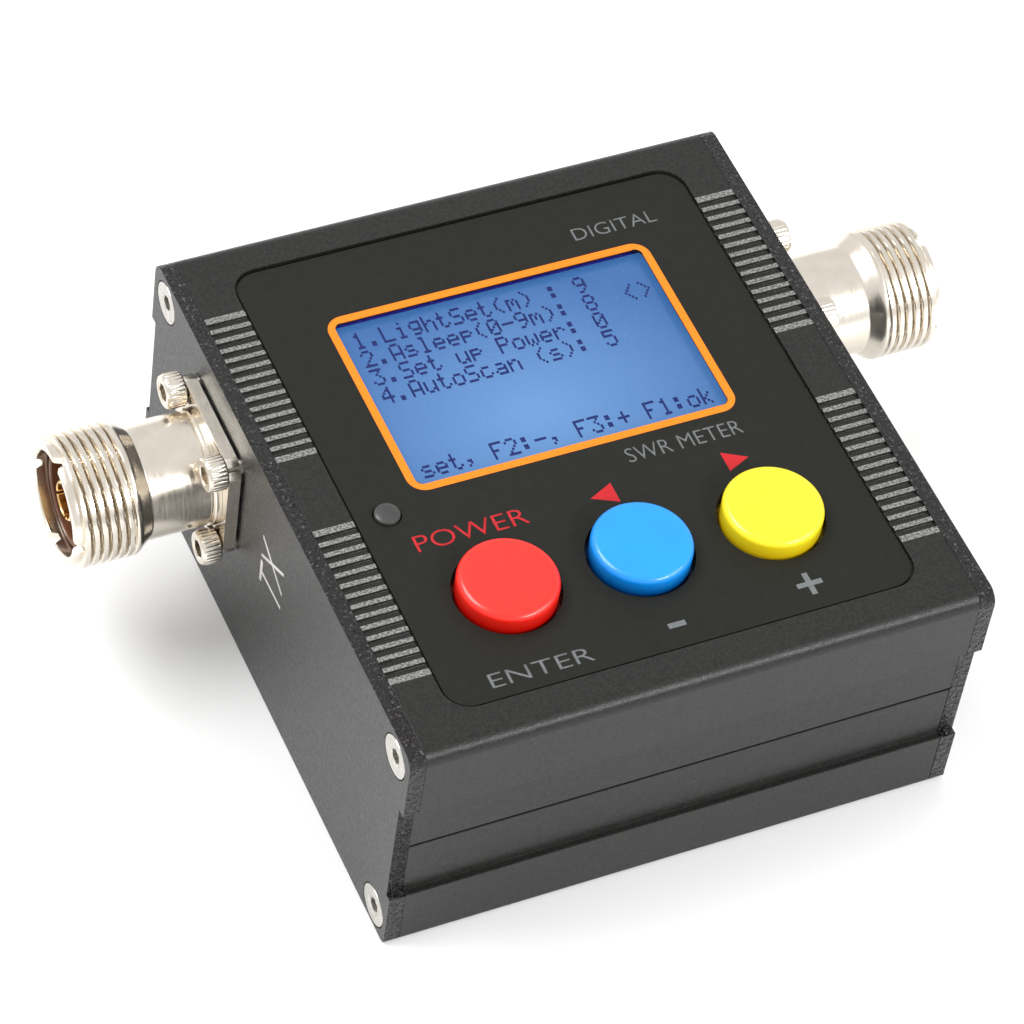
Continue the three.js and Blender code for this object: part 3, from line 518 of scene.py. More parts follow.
def lcd_finish():
    """Backlit blue, lightest low in the middle and darker to the corners."""
    low, high = span("lcd_glass")
    made = Surface("lcd_backlit", (0.02, 0.05, 0.14), 0.25)
    mapping = made.node("ShaderNodeMapping")
    middle = (low + high) / 2 - Vector((2.0, 6.0, 0.0))
    reach = ((high.x - low.x) * 0.75, (high.y - low.y) * 0.85, 1000.0)
    mapping.inputs["Location"].default_value = [-m / r for m, r in zip(middle, reach)]
    mapping.inputs["Scale"].default_value = [1 / (r * MM) for r in reach]
    made.join(made.place, mapping.inputs["Vector"])
    glow = made.node("ShaderNodeTexGradient", gradient_type="SPHERICAL")
    made.join(mapping.outputs["Vector"], glow.inputs["Vector"])
    near = made.ranged(glow.outputs["Fac"], 0.0, 1.0, 0.15, 0.95)
    colour = made.mixed(near, (0.03, 0.128, 0.35), (0.16, 0.355, 0.67))
    grain = made.ranged(made.noise(0.5), 0.0, 0.08)
    colour = made.mixed(grain, colour, (0.17, 0.37, 0.72))
    made.join(colour, made.shader.inputs["Emission Color"])
    made.shader.inputs["Emission Strength"].default_value = 1.0
    made.gloss(0.6, 0.03)
    return made


def lens_finish():
    made = Surface("window_clear", (0.03, 0.045, 0.07), 0.08)
    made.tint(6.0, (0.022, 0.034, 0.055))
    made.gloss(3.0, 0.02)
    made.shader.inputs["Specular IOR Level"].default_value = 0.3
    made.shader.inputs["Alpha"].default_value = 0.1
    made.material.surface_render_method = "BLENDED"
    return made


def board_finish():
    made = Surface("circuit_board", (0.012, 0.1, 0.035), 0.35)
    made.tint(1.5, (0.03, 0.16, 0.06), start=0.48, end=0.52)
    return made.gloss(0.5, 0.06).relief(0.8, 0.02)


def metal(name, colour, other, roughness):
    made = Surface(name, colour, roughness, 1.0)
    made.tint(1.0, other)
    return made.gloss(0.5, 0.08).relief(0.25, 0.008)


def floor_finish():
    made = Surface("floor_paper", (0.86, 0.86, 0.86), 0.75)
    made.shader.inputs["Emission Color"].default_value = (1.0, 1.0, 1.0, 1.0)
    made.shader.inputs["Emission Strength"].default_value = 0.05
    made.tint(40.0, (0.85, 0.85, 0.85))
    return made.relief(0.6, 0.01)


FINISHES = {
    "case": case_finish(),
    "sawn": sawn_finish(),
    "rib": rib_finish(),
    "overlay_film": film_finish(),
    "nickel_plate": nickel_finish(),
    "thread_roots": groove_finish(),
    "screw_steel": steel_finish(),
    "gold_contact": gold_finish(),
    "insulator": moulded("insulator_brown", (0.1, 0.035, 0.014), (0.14, 0.05, 0.02)),
    "button_red": red_finish(),
    "button_blue": blue_finish(),
    "button_yellow": yellow_finish(),
    "lamp_lens": moulded("lamp_lens", (0.034, 0.034, 0.033), (0.046, 0.046, 0.045), 0.3),
    "black_plastic": moulded("black_plastic", (0.015, 0.015, 0.015), (0.025, 0.025, 0.025)),
    "white_plastic": moulded("white_plastic", (0.75, 0.75, 0.72), (0.68, 0.68, 0.66)),
    "window": lens_finish(),
    "lcd": lcd_finish(),
    "circuit_board": board_finish(),
    "copper_line": metal("copper_line", (0.75, 0.36, 0.2), (0.6, 0.27, 0.14), 0.3),
    "ferrite": moulded("ferrite", (0.05, 0.05, 0.055), (0.08, 0.08, 0.085), 0.7),
    "brass_standoff": metal("brass_standoff", (0.72, 0.52, 0.2), (0.6, 0.42, 0.15), 0.3),
    "battery_wrap": metal("battery_wrap", (0.6, 0.6, 0.62), (0.5, 0.5, 0.53), 0.4),
    "ink_orange": ink("ink_orange", (0.8, 0.205, 0.01), (0.76, 0.185, 0.008)),
    "ink_red": ink("ink_red", (0.45, 0.013, 0.018), (0.41, 0.012, 0.016)),
    "ink_grey": ink("ink_grey", (0.14, 0.148, 0.152), (0.12, 0.127, 0.132)),
    "ink_pale": ink("ink_pale", (0.62, 0.6, 0.57), (0.52, 0.5, 0.48)),
    "ink_edge": ink("ink_edge", (0.03, 0.02, 0.36), (0.035, 0.025, 0.42)),
    "ink_pixel": ink("ink_pixel", (0.004, 0.01, 0.12), (0.006, 0.014, 0.15)),
    "floor": floor_finish(),
}


def painted(piece, *finishes):
    piece.data.materials.clear()
    for finish in finishes:
        piece.data.materials.append(FINISHES[finish].material)
    return piece


def placed(piece, body="root", nodes=()):
    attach(piece, body)
    if nodes:
        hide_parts(*nodes)
    return piece


def repaint(piece, index, test):
    """Gives a material slot to the faces whose centre, in millimetres, and normal pass a test."""
    for face in piece.data.polygons:
        if test(face.center / MM, face.normal):
            face.material_index = index


# ---------------------------------------------------------------- case

HOLE_RADIUS = 6.22
LAMP_HOLE = 1.8
LAMP_CUT = 1.65
RIB_EDGE = 0.4  # left plain at each end of a group
RIB_SHORT = 0.15 * RIB_PITCH  # the end ribs are this much narrower
BUTTON_PLACES = {name: middle(f"{name}_button_cap") for name in BUTTONS}
LAMP_LOW, LAMP_HIGH = span("status_lamp")
LAMP = middle("status_lamp")


def mirrored(half):
    """A closed outline from the half of it at positive Y, which starts and ends near the middle."""
    return half + [(-y, z) for y, z in reversed(half)]


def rib_line():
    """The top from its +Y end towards the middle, with round-shouldered grooves between the ribs."""
    centre = RIB_GROUPS[1]
    reach = RIB_COUNT * RIB_PITCH / 2 - RIB_SHORT
    points = [(centre + reach, TOP)]
    for i in reversed(range(RIB_COUNT - 1)):
        y = centre + (i - (RIB_COUNT - 2) / 2) * RIB_PITCH
        for across, deep in GROOVE_SHOULDER:
            points.append((y + across * RIB_GROOVE, TOP - deep * RIB_DEPTH))
        for across, deep in reversed(GROOVE_SHOULDER):
            points.append((y - across * RIB_GROOVE, TOP - deep * RIB_DEPTH))
    return [*points, (centre - reach, TOP)]


def upper_outline():
    """The upper shell's section: its outside over the top to -Y, and back along its hollow."""
    outer = [
        (WAIST, PARTING),
        (WAIST, STEP_Z),
        (HALF_DEPTH, STEP_Z),
        *arc(HALF_DEPTH - EDGE_RADIUS, TOP - EDGE_RADIUS, EDGE_RADIUS, 0, 90, 8),
        *rib_line(),
    ]
    inner = [
        (HALF_DEPTH - WALL, CEILING),
        (HALF_DEPTH - WALL, STEP_Z + WALL),
        (WAIST - WALL, STEP_Z + WALL),
        (WAIST - WALL, PARTING),
    ]
    return mirrored(outer) + [(-y, z) for y, z in reversed(inner)] + inner


def upper_shell():
    piece = prism("case_upper", upper_outline(), -HALF_LENGTH, HALF_LENGTH, along_x)
    low = CEILING - 2
    high = TOP + 2
    recess = grown(FILM_LOW, FILM_HIGH, GAP)
    opening = grown(LENS_LOW, LENS_HIGH, GAP)
    tools = [
        prism("recess", rounded(*recess, FILM_RADIUS + GAP), RECESS_FLOOR, high, along_z),
        prism("opening", rounded(*opening, VIEW_RADIUS), low, high, along_z),
        rod("lamp_hole", LAMP_HOLE, low, high, *LAMP, 48),
    ]
    for name, (x, y) in BUTTON_PLACES.items():
        tools.append(rod(f"{name}_hole", HOLE_RADIUS, low, high, x, y))
    carved(piece, tools)
    bevelled(piece, UPPER_BEVEL)
    painted(piece, "case", "rib")
    reach = RIB_COUNT * RIB_PITCH / 2

    def on_rib(centre, normal):
        inside = any(abs(centre.y - group) < reach - RIB_EDGE for group in RIB_GROUPS)
        return inside and normal.z > 0.9 and centre.z > TOP - 0.05

    repaint(piece, 1, on_rib)
    placed(smoothed(piece), nodes=["upper_shell"])


def lower_outline():
    outer = [
        *arc(FOOT - FOOT_RADIUS, FOOT_RADIUS, FOOT_RADIUS, -90, 0, 5),
        (FOOT, LEDGE_Z),
        (WAIST, LEDGE_Z),
        (WAIST, PARTING_LOW),
    ]
    inner = [(WAIST - WALL, PARTING_LOW), (WAIST - WALL, FLOOR)]
    return mirrored(outer + inner)


def lower_shell():
    piece = prism("case_lower", lower_outline(), -HALF_LENGTH, HALF_LENGTH, along_x)
    bevelled(piece, LOWER_BEVEL)
    painted(piece, "case")
    placed(smoothed(piece), nodes=["lower_shell"])


def end_outline():
    return mirrored([
        *arc(FOOT - FOOT_RADIUS, FOOT_RADIUS, FOOT_RADIUS, -90, 0, 5),
        (FOOT, LEDGE_Z),
        (WAIST, LEDGE_Z),
        (WAIST, STEP_Z),
        (HALF_DEPTH, STEP_Z),
        *arc(HALF_DEPTH - EDGE_RADIUS, TOP - EDGE_RADIUS, EDGE_RADIUS, 0, 90, 8),
    ])


def end_plate(name, side):
    inner, outer = sorted((side * HALF_LENGTH, side * PLATE_FACE))
    piece = prism(f"{name}_plate", end_outline(), inner, outer, along_x)
    rows = [(0, -CUT_IN), (SINK_HOLE, -CUT_IN), (SINK_HOLE, -SINK_DEPTH)]
    rows += [(SINK_RADIUS, -0.1), (SINK_RADIUS, CUT_OUT), (0, CUT_OUT)]
    sink = revolved("sink", rows, 48)
    tools = []
    for i in range(SCREWS_IN_PLATE):
        low, high = span(f"{name}_plate_screw_{i + 1}")
        tool = copied(sink, f"sink_{i}")
        tools.append(moved(tool, on_plate(side, 0, (low.y + high.y) / 2, (low.z + high.z) / 2)))
    boss = rod("boss", REAR_RADIUS + GAP, -CUT_IN, CUT_OUT, 0, 0, 64)
    tools.append(moved(boss, on_plate(side, 0, SOCKET_Y, SOCKET_Z)))
    if name == "ant":
        low, high = grown(*(c.yz for c in span("charge_socket")), GAP)
        outline = rounded(low, high, 0.5, 4)
        tools.append(prism("usb", outline, PLATE_FACE - CUT_IN, PLATE_FACE + 2, along_x))
    bpy.data.objects.remove(sink)
    carved(piece, tools)
    bevelled(piece, PLATE_BEVEL)
    painted(piece, "case", "sawn")
    repaint(piece, 1, lambda centre, normal: abs(normal.x) < 0.5)
    placed(smoothed(piece), nodes=[f"{name}_end_plate"])


# ---------------------------------------------------------------- screws


def hex_tool(across, low, high):
    return prism("hexagon", arc(0, 0, across / math.sqrt(3), 0, 300, 5), low, high, along_z)


def countersunk_screw():
    """A countersunk screw with a hexagon socket and a shallow dish, and the top of its head at 0."""
    length = 7
    shank = 1.2
    dish = 0.12
    rows = [(0, -length), (shank, -length), (shank, -1.5), (2.5, -0.22), (2.58, -0.1), (2.54, 0)]
    rows += [(1.35, 0), (1.15, -dish), (0, -dish)]
    piece = revolved("plate_screw_pattern", rows, 64)
    return carved(piece, [hex_tool(1.7, -1.1, 1)])


def socket_screw():
    """A socket-cap screw with a straight-knurled head, and the underside of its head at 0."""
    length = 5
    shank = 1.0
    height = 2.4
    teeth = 26
    tooth = 0.05

    def knurl(angle):
        return 2.07 + tooth * math.sin(teeth * angle)

    rows = [(0, -length), (shank, -length), (shank, 0), (1.85, 0), (2.0, 0.12)]
    rows += [(knurl, 0.22), (knurl, 1.9), (2.03, 2.02), (1.96, height - 0.12), (1.82, height)]
    rows += [(1.3, height), (1.18, height - 0.1), (0, height - 0.1)]
    piece = revolved("socket_screw_pattern", rows, 208)
    return carved(piece, [hex_tool(1.95, 1.1, height + 1)])


FIRST_TURN = 17
NEXT_TURN = 37


def screws():
    plate_pattern = countersunk_screw()
    socket_pattern = socket_screw()
    for name, side in SIDES.items():
        for i in range(SCREWS_IN_PLATE):
            for pattern, kind, out, paint in (
                (plate_pattern, "plate_screw", 0.0, "screw_steel"),
                (socket_pattern, "connector_screw", FLANGE_THICKNESS + 0.1, "nickel_plate"),
            ):
                node = f"{name}_{kind}_{i + 1}"
                low, high = span(node)
                turn = Matrix.Rotation(math.radians(FIRST_TURN + NEXT_TURN * i), 4, "Z")
                place = on_plate(side, out, (low.y + high.y) / 2, (low.z + high.z) / 2)
                piece = moved(copied(pattern, f"look_{node}"), place @ turn)
                painted(piece, paint)
                placed(smoothed(piece, 28), nodes=[node])
    bpy.data.objects.remove(plate_pattern)
    bpy.data.objects.remove(socket_pattern)


# ---------------------------------------------------------------- sockets


def thread(height):
    """The radius at a height as a function of the angle: a right-handed ridge, faded at both ends."""
    rise = min(1.0, (height - THREAD_START) / THREAD_RUN_IN, (THREAD_END - height) / THREAD_RUN_OUT)
    root = THREAD_RADIUS - THREAD_DEPTH

    def radius(angle):
        phase = (height / THREAD_PITCH - angle / (2 * math.pi)) % 1.0
        ridge = min(1.0, THREAD_FLANK * min(phase, 1 - phase))
        return root + THREAD_DEPTH * (ridge if rise >= 1.0 else 1 - max(rise, 0.0) * (1 - ridge))

    return radius


def in_groove(centre, _normal):
    depth = THREAD_RADIUS - centre.xy.length
    return 0.5 * THREAD_DEPTH < depth < THREAD_DEPTH + 0.02 and THREAD_START < centre.z < THREAD_END


def socket_rows():
    """The socket's profile, from its rear round the thread and the nose to the floor of its bore."""
    seat = FLANGE_THICKNESS + 0.02
    ring = FLANGE_THICKNESS + RING_WIDTH
    rows = [(NECK_RADIUS, -REAR_LENGTH), (REAR_RADIUS, -REAR_LENGTH), (REAR_RADIUS, seat)]
    rows += [(RING_RADIUS, seat), (RING_RADIUS, ring - 0.15), (6.8, ring)]
    rows += [(6.55, ring), (6.55, ring + 0.3), (6.7, ring + 0.4)]
    rows += [(BARREL_RADIUS, ring + 0.5), (BARREL_RADIUS, BARREL_END)]
    rows += [(6.85, BARREL_END + 0.3), (7.55, 11.35), (7.72, 11.5), (7.84, THREAD_START - 0.4)]
    rows += [(THREAD_RADIUS, THREAD_START - 0.25)]
    for i in range(THREAD_STEPS + 1):
        height = THREAD_START + (THREAD_END - THREAD_START) * i / THREAD_STEPS
        rows.append((thread(height), height))
    rows += [(7.5, THREAD_END + 0.12), (NOSE_RADIUS, THREAD_END + 0.16), (NOSE_RADIUS, NOSE_END - 0.25)]
    rows += [(NOSE_RADIUS - 0.12, NOSE_END - 0.05), (NOSE_RADIUS - 0.25, NOSE_END)]
    rows += [(BORE_RADIUS + 0.3, NOSE_END), (BORE_RADIUS + 0.1, NOSE_END - 0.1)]
    return rows + [(BORE_RADIUS, NOSE_END - 0.3), (BORE_RADIUS, BORE_FLOOR), (NECK_RADIUS, BORE_FLOOR)]


def crossed(piece, outline, reach):
    """Cuts an outline of (across, height) through the piece along Y and along X."""
    return carved(piece, [
        prism("cut_y", outline, -reach, reach, along_y),
        prism("cut_x", outline, -reach, reach, along_x),
    ])


def socket_shell(name, side):
    piece = revolved(f"{name}_socket", socket_rows(), 120)
    over = NOSE_END + 0.2
    foot = NOSE_END - NOTCH_DEPTH
    notch = [(-NOTCH_MOUTH, over), (-NOTCH_FOOT, foot), (NOTCH_FOOT, foot), (NOTCH_MOUTH, over)]
    crossed(piece, notch, THREAD_RADIUS + CUT_OUT)
    half = FLANGE / 2
    outline = rounded((-half, -half), (half, half), FLANGE_CORNER, 10)
    flange = prism("flange", outline, GAP, FLANGE_THICKNESS, along_z)
    out = (-FLANGE_HOLE_OUT, FLANGE_HOLE_OUT)
    tools = [rod("hole", FLANGE_HOLE, -CUT_OUT, CUT_IN, a, b, 32) for a in out for b in out]
    tools.append(rod("centre", REAR_RADIUS + 0.1, -CUT_OUT, CUT_IN, 0, 0, 64))
    bevelled(carved(flange, tools), 0.16)
    gathered(piece, flange)
    painted(piece, "nickel_plate", "thread_roots")
    repaint(piece, 1, in_groove)
    moved(piece, on_plate(side, 0, SOCKET_Y, SOCKET_Z))
    placed(smoothed(piece, 40), nodes=[f"{name}_connector_shell"])


def socket_insulator(name, side):
    low, high = span("ant_insulator")
    rear, rim = low.x - PLATE_FACE, high.x - PLATE_FACE
    hole = 1.5
    neck = NECK_RADIUS - GAP
    skirt = BORE_RADIUS - GAP
    liner = 5.3
    seat = BORE_FLOOR + GAP
    front = INSULATOR_FACE
    groove = front - 0.35
    rows = [(hole, rear), (neck, rear), (neck, seat), (skirt, seat), (skirt, rim - 0.12)]
    rows += [(skirt - 0.1, rim), (liner + 0.15, rim), (liner, rim - 0.15), (liner, front + 0.2)]
    rows += [(5.1, front), (4.3, front), (4.15, groove), (3.2, groove), (3.05, front)]
    rows += [(hole + 0.2, front), (hole, front - 0.2)]
    insulator = moved(revolved(f"{name}_dielectric", rows, 72), on_plate(side, 0, SOCKET_Y, SOCKET_Z))
    placed(smoothed(painted(insulator, "insulator")), nodes=[f"{name}_insulator"])


def socket_contact(name, side):
    low, high = span("ant_contact")
    tail, end = low.x - PLATE_FACE, high.x - PLATE_FACE
    root = INSULATOR_FACE + GAP
    pin = 1.2
    outside = 2.45
    bore = 2.0
    rows = [(0, tail), (pin, tail), (pin, root), (outside - 0.25, root), (outside, root + 0.25)]
    rows += [(outside, end - 0.45), (2.38, end - 0.15), (2.22, end), (2.12, end)]
    rows += [(bore, end - 0.2), (bore, end - 5), (0, end - 5)]
    contact = revolved(f"{name}_pin", rows, 72)
    half = 0.2
    foot = end - 4.8
    over = end + CUT_OUT
    crossed(contact, [(-half, foot), (half, foot), (half, over), (-half, over)], CUT_IN)
    moved(contact, on_plate(side, 0, SOCKET_Y, SOCKET_Z) @ Matrix.Rotation(math.radians(20), 4, "Z"))
    placed(smoothed(painted(contact, "gold_contact")), nodes=[f"{name}_contact"])


# ---------------------------------------------------------------- overlay and display


def overlay():
    outline = rounded(FILM_LOW, FILM_HIGH, FILM_RADIUS, 12)
    piece = prism("overlay", outline, FILM_LOW.z, FILM_TOP, along_z)
    view = grown(LENS_LOW, LENS_HIGH, -LENS_LAP)
    tools = [
        prism("view", rounded(*view, VIEW_RADIUS), 0, TOP + 2, along_z),
        rod("lamp", LAMP_CUT, 0, TOP + 2, *LAMP, 48),
    ]
    for name, (x, y) in BUTTON_PLACES.items():
        tools.append(rod(f"{name}_cut", HOLE_RADIUS, 0, TOP + 2, x, y))
    carved(piece, tools)
    bevelled(piece, 0.04, 1)
    placed(smoothed(painted(piece, "overlay_film")), nodes=["panel_overlay"])


def border():
    view = grown(LENS_LOW, LENS_HIGH, -LENS_LAP - 0.02)
    inner = rounded(*view, VIEW_RADIUS - 0.3, 10)
    outer = rounded(*grown(*view, BORDER_WIDTH), VIEW_RADIUS + BORDER_WIDTH, 10)
    piece = frame_ring("display_border", inner, outer, FILM_TOP - 0.1, FILM_TOP + INK_LIFT)
    placed(painted(piece, "ink_orange"))


def display():
    outline = rounded(LENS_LOW, LENS_HIGH, VIEW_RADIUS)
    lens = prism("window_lens", outline, LENS_LOW.z, LENS_HIGH.z, along_z)
    bevelled(lens, 0.05, 1)
    placed(smoothed(painted(lens, "window")), nodes=["display_window"])
    low, high = span("lcd_glass")
    cell = prism("lcd_cell", rounded(low, high, 0.4, 3), low.z, high.z, along_z)
    bevelled(cell, 0.08)
    placed(smoothed(painted(cell, "lcd")), nodes=["lcd_glass"])


# Five by seven dots a letter, row by row from the top, with a # for a dark dot.
GLYPHS = {
    "0": ".###. #...# #..## #.#.# ##..# #...# .###.",
    "1": "..#.. .##.. ..#.. ..#.. ..#.. ..#.. .###.",
    "2": ".###. #...# ....# ...#. ..#.. .#... #####",
    "3": "##### ...#. ..#.. ...#. ....# #...# .###.",
    "4": "...#. ..##. .#.#. #..#. ##### ...#. ...#.",
    "5": "##### #.... ####. ....# ....# #...# .###.",
    "8": ".###. #...# #...# .###. #...# #...# .###.",
    "9": ".###. #...# #...# .#### ....# ...#. .##..",
    "A": ".###. #...# #...# #...# ##### #...# #...#",
    "F": "##### #.... #.... ###.. #.... #.... #....",
    "L": "#.... #.... #.... #.... #.... #.... #####",
    "P": "####. #...# #...# ####. #.... #.... #....",
    "S": ".#### #.... #.... .###. ....# ....# ####.",
    "a": "..... ..... .###. ....# .#### #...# .####",
    "c": "..... ..... .###. #.... #.... #...# .###.",
    "e": "..... ..... .###. #...# ##### #.... .###.",
    "g": "..... .#### #...# #...# .#### ....# .###.",
    "h": "#.... #.... #.##. ##..# #...# #...# #...#",
    "i": "..#.. ..... .##.. ..#.. ..#.. ..#.. .###.",
    "k": "#.... #.... #..#. #.#.. ##... #.#.. #..#.",
    "l": ".##.. ..#.. ..#.. ..#.. ..#.. ..#.. .###.",
    "m": "..... ..... ##.#. #.#.# #.#.# #...# #...#",
    "n": "..... ..... #.##. ##..# #...# #...# #...#",
    "o": "..... ..... .###. #...# #...# #...# .###.",
    "p": "..... ..... ####. #...# ####. #.... #....",
    "r": "..... ..... #.##. ##..# #.... #.... #....",
    "s": "..... ..... .###. #.... .###. ....# ####.",
    "t": ".#... .#... ###.. .#... .#... .#..# ..##.",
    "u": "..... ..... #...# #...# #...# #..## .##.#",
    "w": "..... ..... #...# #...# #.#.# #.#.# .#.#.",
    ".": "..... ..... ..... ..... ..... .##.. .##..",
    ",": "..... ..... ..... ..... .##.. ..#.. .#...",
    ":": "..... .##.. .##.. ..... .##.. .##.. .....",
    "-": "..... ..... ..... ##### ..... ..... .....",
    "+": "..... ..#.. ..#.. ##### ..#.. ..#.. .....",
    "(": "...#. ..#.. .#... .#... .#... ..#.. ...#.",
    ")": ".#... ..#.. ...#. ...#. ...#. ..#.. .#...",
    "<": "...#. ..#.. .#... #.... .#... ..#.. ...#.",
    ">": ".#... ..#.. ...#. ....# ...#. ..#.. .#...",
}

SCREEN_TEXT = (
    (0, "1.LightSet(m) : 9"),
    (1, "2.Asleep(0-9m): 8  <>"),
    (2, "3.Set up Power: 0"),
    (3, "4.AutoScan (s): 5"),
    (7, "set, F2:-, F3:+ F1:ok"),
)
DOT_X = 0.29
DOT_Y = 0.359
DOT_GAP = 0.012
DOTS_A_LETTER = 6
DOTS_A_ROW = 8
SCREEN_MARGIN = (1.65, 1.1)
SCREEN_EDGE = 0.4


def screen_dots():
    """How far right of and below the text's top left corner every dark dot starts."""
    for row, text in SCREEN_TEXT:
        for column, letter in enumerate(text):
            for j, line in enumerate(GLYPHS.get(letter, "").split()):
                for i, dot in enumerate(line):
                    if dot == "#":
                        yield (column * DOTS_A_LETTER + i) * DOT_X, (row * DOTS_A_ROW + j) * DOT_Y


def screen_text():
    """The dot-matrix text, as small raised tiles just over the cell, and the cell's dark back edge."""
    low, high = span("lcd_glass")
    view_low, view_high = grown(LENS_LOW, LENS_HIGH, -LENS_LAP)
    left = view_low[0] + SCREEN_MARGIN[0]
    top = view_high[1] - SCREEN_MARGIN[1]
    base = high.z - INK_LIFT
    points = []
    faces = []
    for right, down in screen_dots():
        x, y = left + right, top - down
        x1, y1 = x + DOT_X - DOT_GAP, y - DOT_Y + DOT_GAP
        first = len(points)
        for z in (base, high.z + INK_LIFT):
            points += [(x, y, z), (x, y1, z), (x1, y1, z), (x1, y, z)]
        a, b, c, d, e, f, g, h = range(first, first + 8)
        faces += [(a, d, c, b), (e, f, g, h)]
        faces += [(a, b, f, e), (b, c, g, f), (c, d, h, g), (d, a, e, h)]
    piece = from_lists("screen_text", points, faces)
    placed(painted(piece, "ink_pixel"))
    strip = rounded((low.x, high.y - SCREEN_EDGE), (high.x, high.y), 0.1, 2)
    edge = prism("screen_edge", strip, base, high.z + INK_LIFT, along_z)
    placed(painted(edge, "ink_edge"))


# ---------------------------------------------------------------- legends


FILM_LETTER_THIN = 0.008  # taken off each side of a stroke, in letter heights
PLATE_LETTER_THIN = 0.014


def lettering(name, text, low, high, thin):
    """Letters drawn flat in X and Y that fill the box between two corners."""
    curve = bpy.data.curves.new(name, "FONT")
    curve.body = text
    curve.size = 1.0
    curve.offset = -thin
    curve.resolution_u = 4
    made = bpy.data.objects.new(name, curve)
    bpy.context.scene.collection.objects.link(made)
    graph = bpy.context.evaluated_depsgraph_get()
    mesh = bpy.data.meshes.new_from_object(made.evaluated_get(graph))
    bpy.data.objects.remove(made)
    corners = [v.co for v in mesh.vertices]
    x0, x1 = min(c.x for c in corners), max(c.x for c in corners)
    y0, y1 = min(c.y for c in corners), max(c.y for c in corners)
    sx, sy = (high[0] - low[0]) / (x1 - x0), (high[1] - low[1]) / (y1 - y0)
    for vertex in mesh.vertices:
        vertex.co = Vector((low[0] + (vertex.co.x - x0) * sx, low[1] + (vertex.co.y - y0) * sy, 0)) * MM
    build = bmesh.new()
    build.from_mesh(mesh)
    bmesh.ops.remove_doubles(build, verts=build.verts, dist=1e-7)
    raised = bmesh.ops.extrude_face_region(build, geom=build.faces[:])
    tops = [v for v in raised["geom"] if isinstance(v, bmesh.types.BMVert)]
    bmesh.ops.translate(build, verts=tops, vec=(0, 0, 2 * INK_LIFT * MM))
    bmesh.ops.recalc_face_normals(build, faces=build.faces)
    build.to_mesh(mesh)
    build.free()
    return link(name, mesh)


def on_film(piece, paint):
    moved(piece, Matrix.Translation(Vector((0, 0, FILM_TOP - INK_LIFT)) * MM))
    placed(painted(piece, paint))


def legends():
    words = (
        ("legend_power", "POWER", (-23.3, -11.45), (-9.8, -9.15), "ink_red"),
        ("legend_enter", "ENTER", (-23.0, -31.4), (-10.8, -29.5), "ink_grey"),
        ("legend_meter", "SWR METER", (4.4, -7.1), (18.75, -5.05), "ink_grey"),
        ("legend_digital", "DIGITAL", (12.4, 25.9), (23.0, 27.75), "ink_grey"),
    )
    for name, text, low, high, paint in words:
        on_film(lettering(name, text, low, high, FILM_LETTER_THIN), paint)
    flat = (0, 2 * INK_LIFT)
    arm = 1.55
    half = 0.33
    cross = [(half, arm), (-half, arm), (-half, half), (-arm, half), (-arm, -half), (-half, -half)]
    cross += [(-x, -y) for x, y in cross]
    signs = (
        ("sign_minus", [(-1.35, -30.2), (0.75, -30.2), (0.75, -29.5), (-1.35, -29.5)], "ink_grey"),
        ("sign_plus", [(x + 16.2, y - 29.4) for x, y in cross], "ink_grey"),
        ("arrow_back", [(-2.05, -10.48), (1.02, -11.95), (1.02, -9.05)], "ink_red"),
        ("arrow_on", [(17.6, -10.56), (14.73, -8.97), (14.73, -11.8)], "ink_red"),
    )
    for name, outline, paint in signs:
        on_film(prism(name, outline, *flat, along_z), paint)


def plate_letters(name, side, text, low, high):
    """Letters on an end plate, which read upwards, with their tops towards +Y on TX and -Y on ANT."""
    piece = lettering(f"legend_{name}", text, low, high, PLATE_LETTER_THIN)
    turn = Matrix(((0, 0, side, 0), (0, -side, 0, 0), (1, 0, 0, 0), (0, 0, 0, 1)))
    moved(piece, turn)
    moved(piece, Matrix.Translation(Vector((side * (PLATE_FACE - INK_LIFT), 0, 0)) * MM))
    placed(painted(piece, "ink_pale"))


# ---------------------------------------------------------------- buttons and lamp


CAP_RADIUS = 5.8
CAP_EDGE = 0.85
CAP_FLANGE = 6.6
CAP_SEAT = 1.9
CAP_SEAT_DEPTH = 3.2
LENS_FLANGE = 1.9
LENS_RADIUS = 1.5


def button(name, paint):
    low, high = span(f"{name}_button_cap")
    x, y = BUTTON_PLACES[name]
    top = high.z
    step = low.z + 1.0
    rows = [(CAP_SEAT, low.z), (CAP_FLANGE, low.z), (CAP_FLANGE, step - 0.1), (CAP_FLANGE - 0.1, step)]
    rows += [(CAP_RADIUS, step), *arc(CAP_RADIUS - CAP_EDGE, top - CAP_EDGE - 0.06, CAP_EDGE, 0, 84, 12)]
    rows += [(3.4, top - 0.02), (1.6, top - 0.004), (0, top)]
    rows += [(0, low.z + CAP_SEAT_DEPTH), (CAP_SEAT, low.z + CAP_SEAT_DEPTH)]
    piece = revolved(f"{name}_cap", rows, 112)
    moved(piece, Matrix.Translation(Vector((x, y, 0)) * MM))
    placed(smoothed(painted(piece, paint)), f"{name}_button", [f"{name}_button_cap"])


def lamp():
    top = LAMP_HIGH.z
    step = LAMP_LOW.z + 1
    rows = [(0, LAMP_LOW.z), (LENS_FLANGE, LAMP_LOW.z), (LENS_FLANGE, step), (LENS_RADIUS, step)]
    rows += [(LENS_RADIUS, top - 0.3), (1.42, top - 0.18), (1.15, top - 0.08)]
    rows += [(0.7, top - 0.02), (0, top)]
    piece = moved(revolved("lamp_lens", rows, 64), Matrix.Translation(Vector((*LAMP, 0)) * MM))
    placed(smoothed(painted(piece, "lamp_lens")), nodes=["status_lamp"])


# ---------------------------------------------------------------- assembly

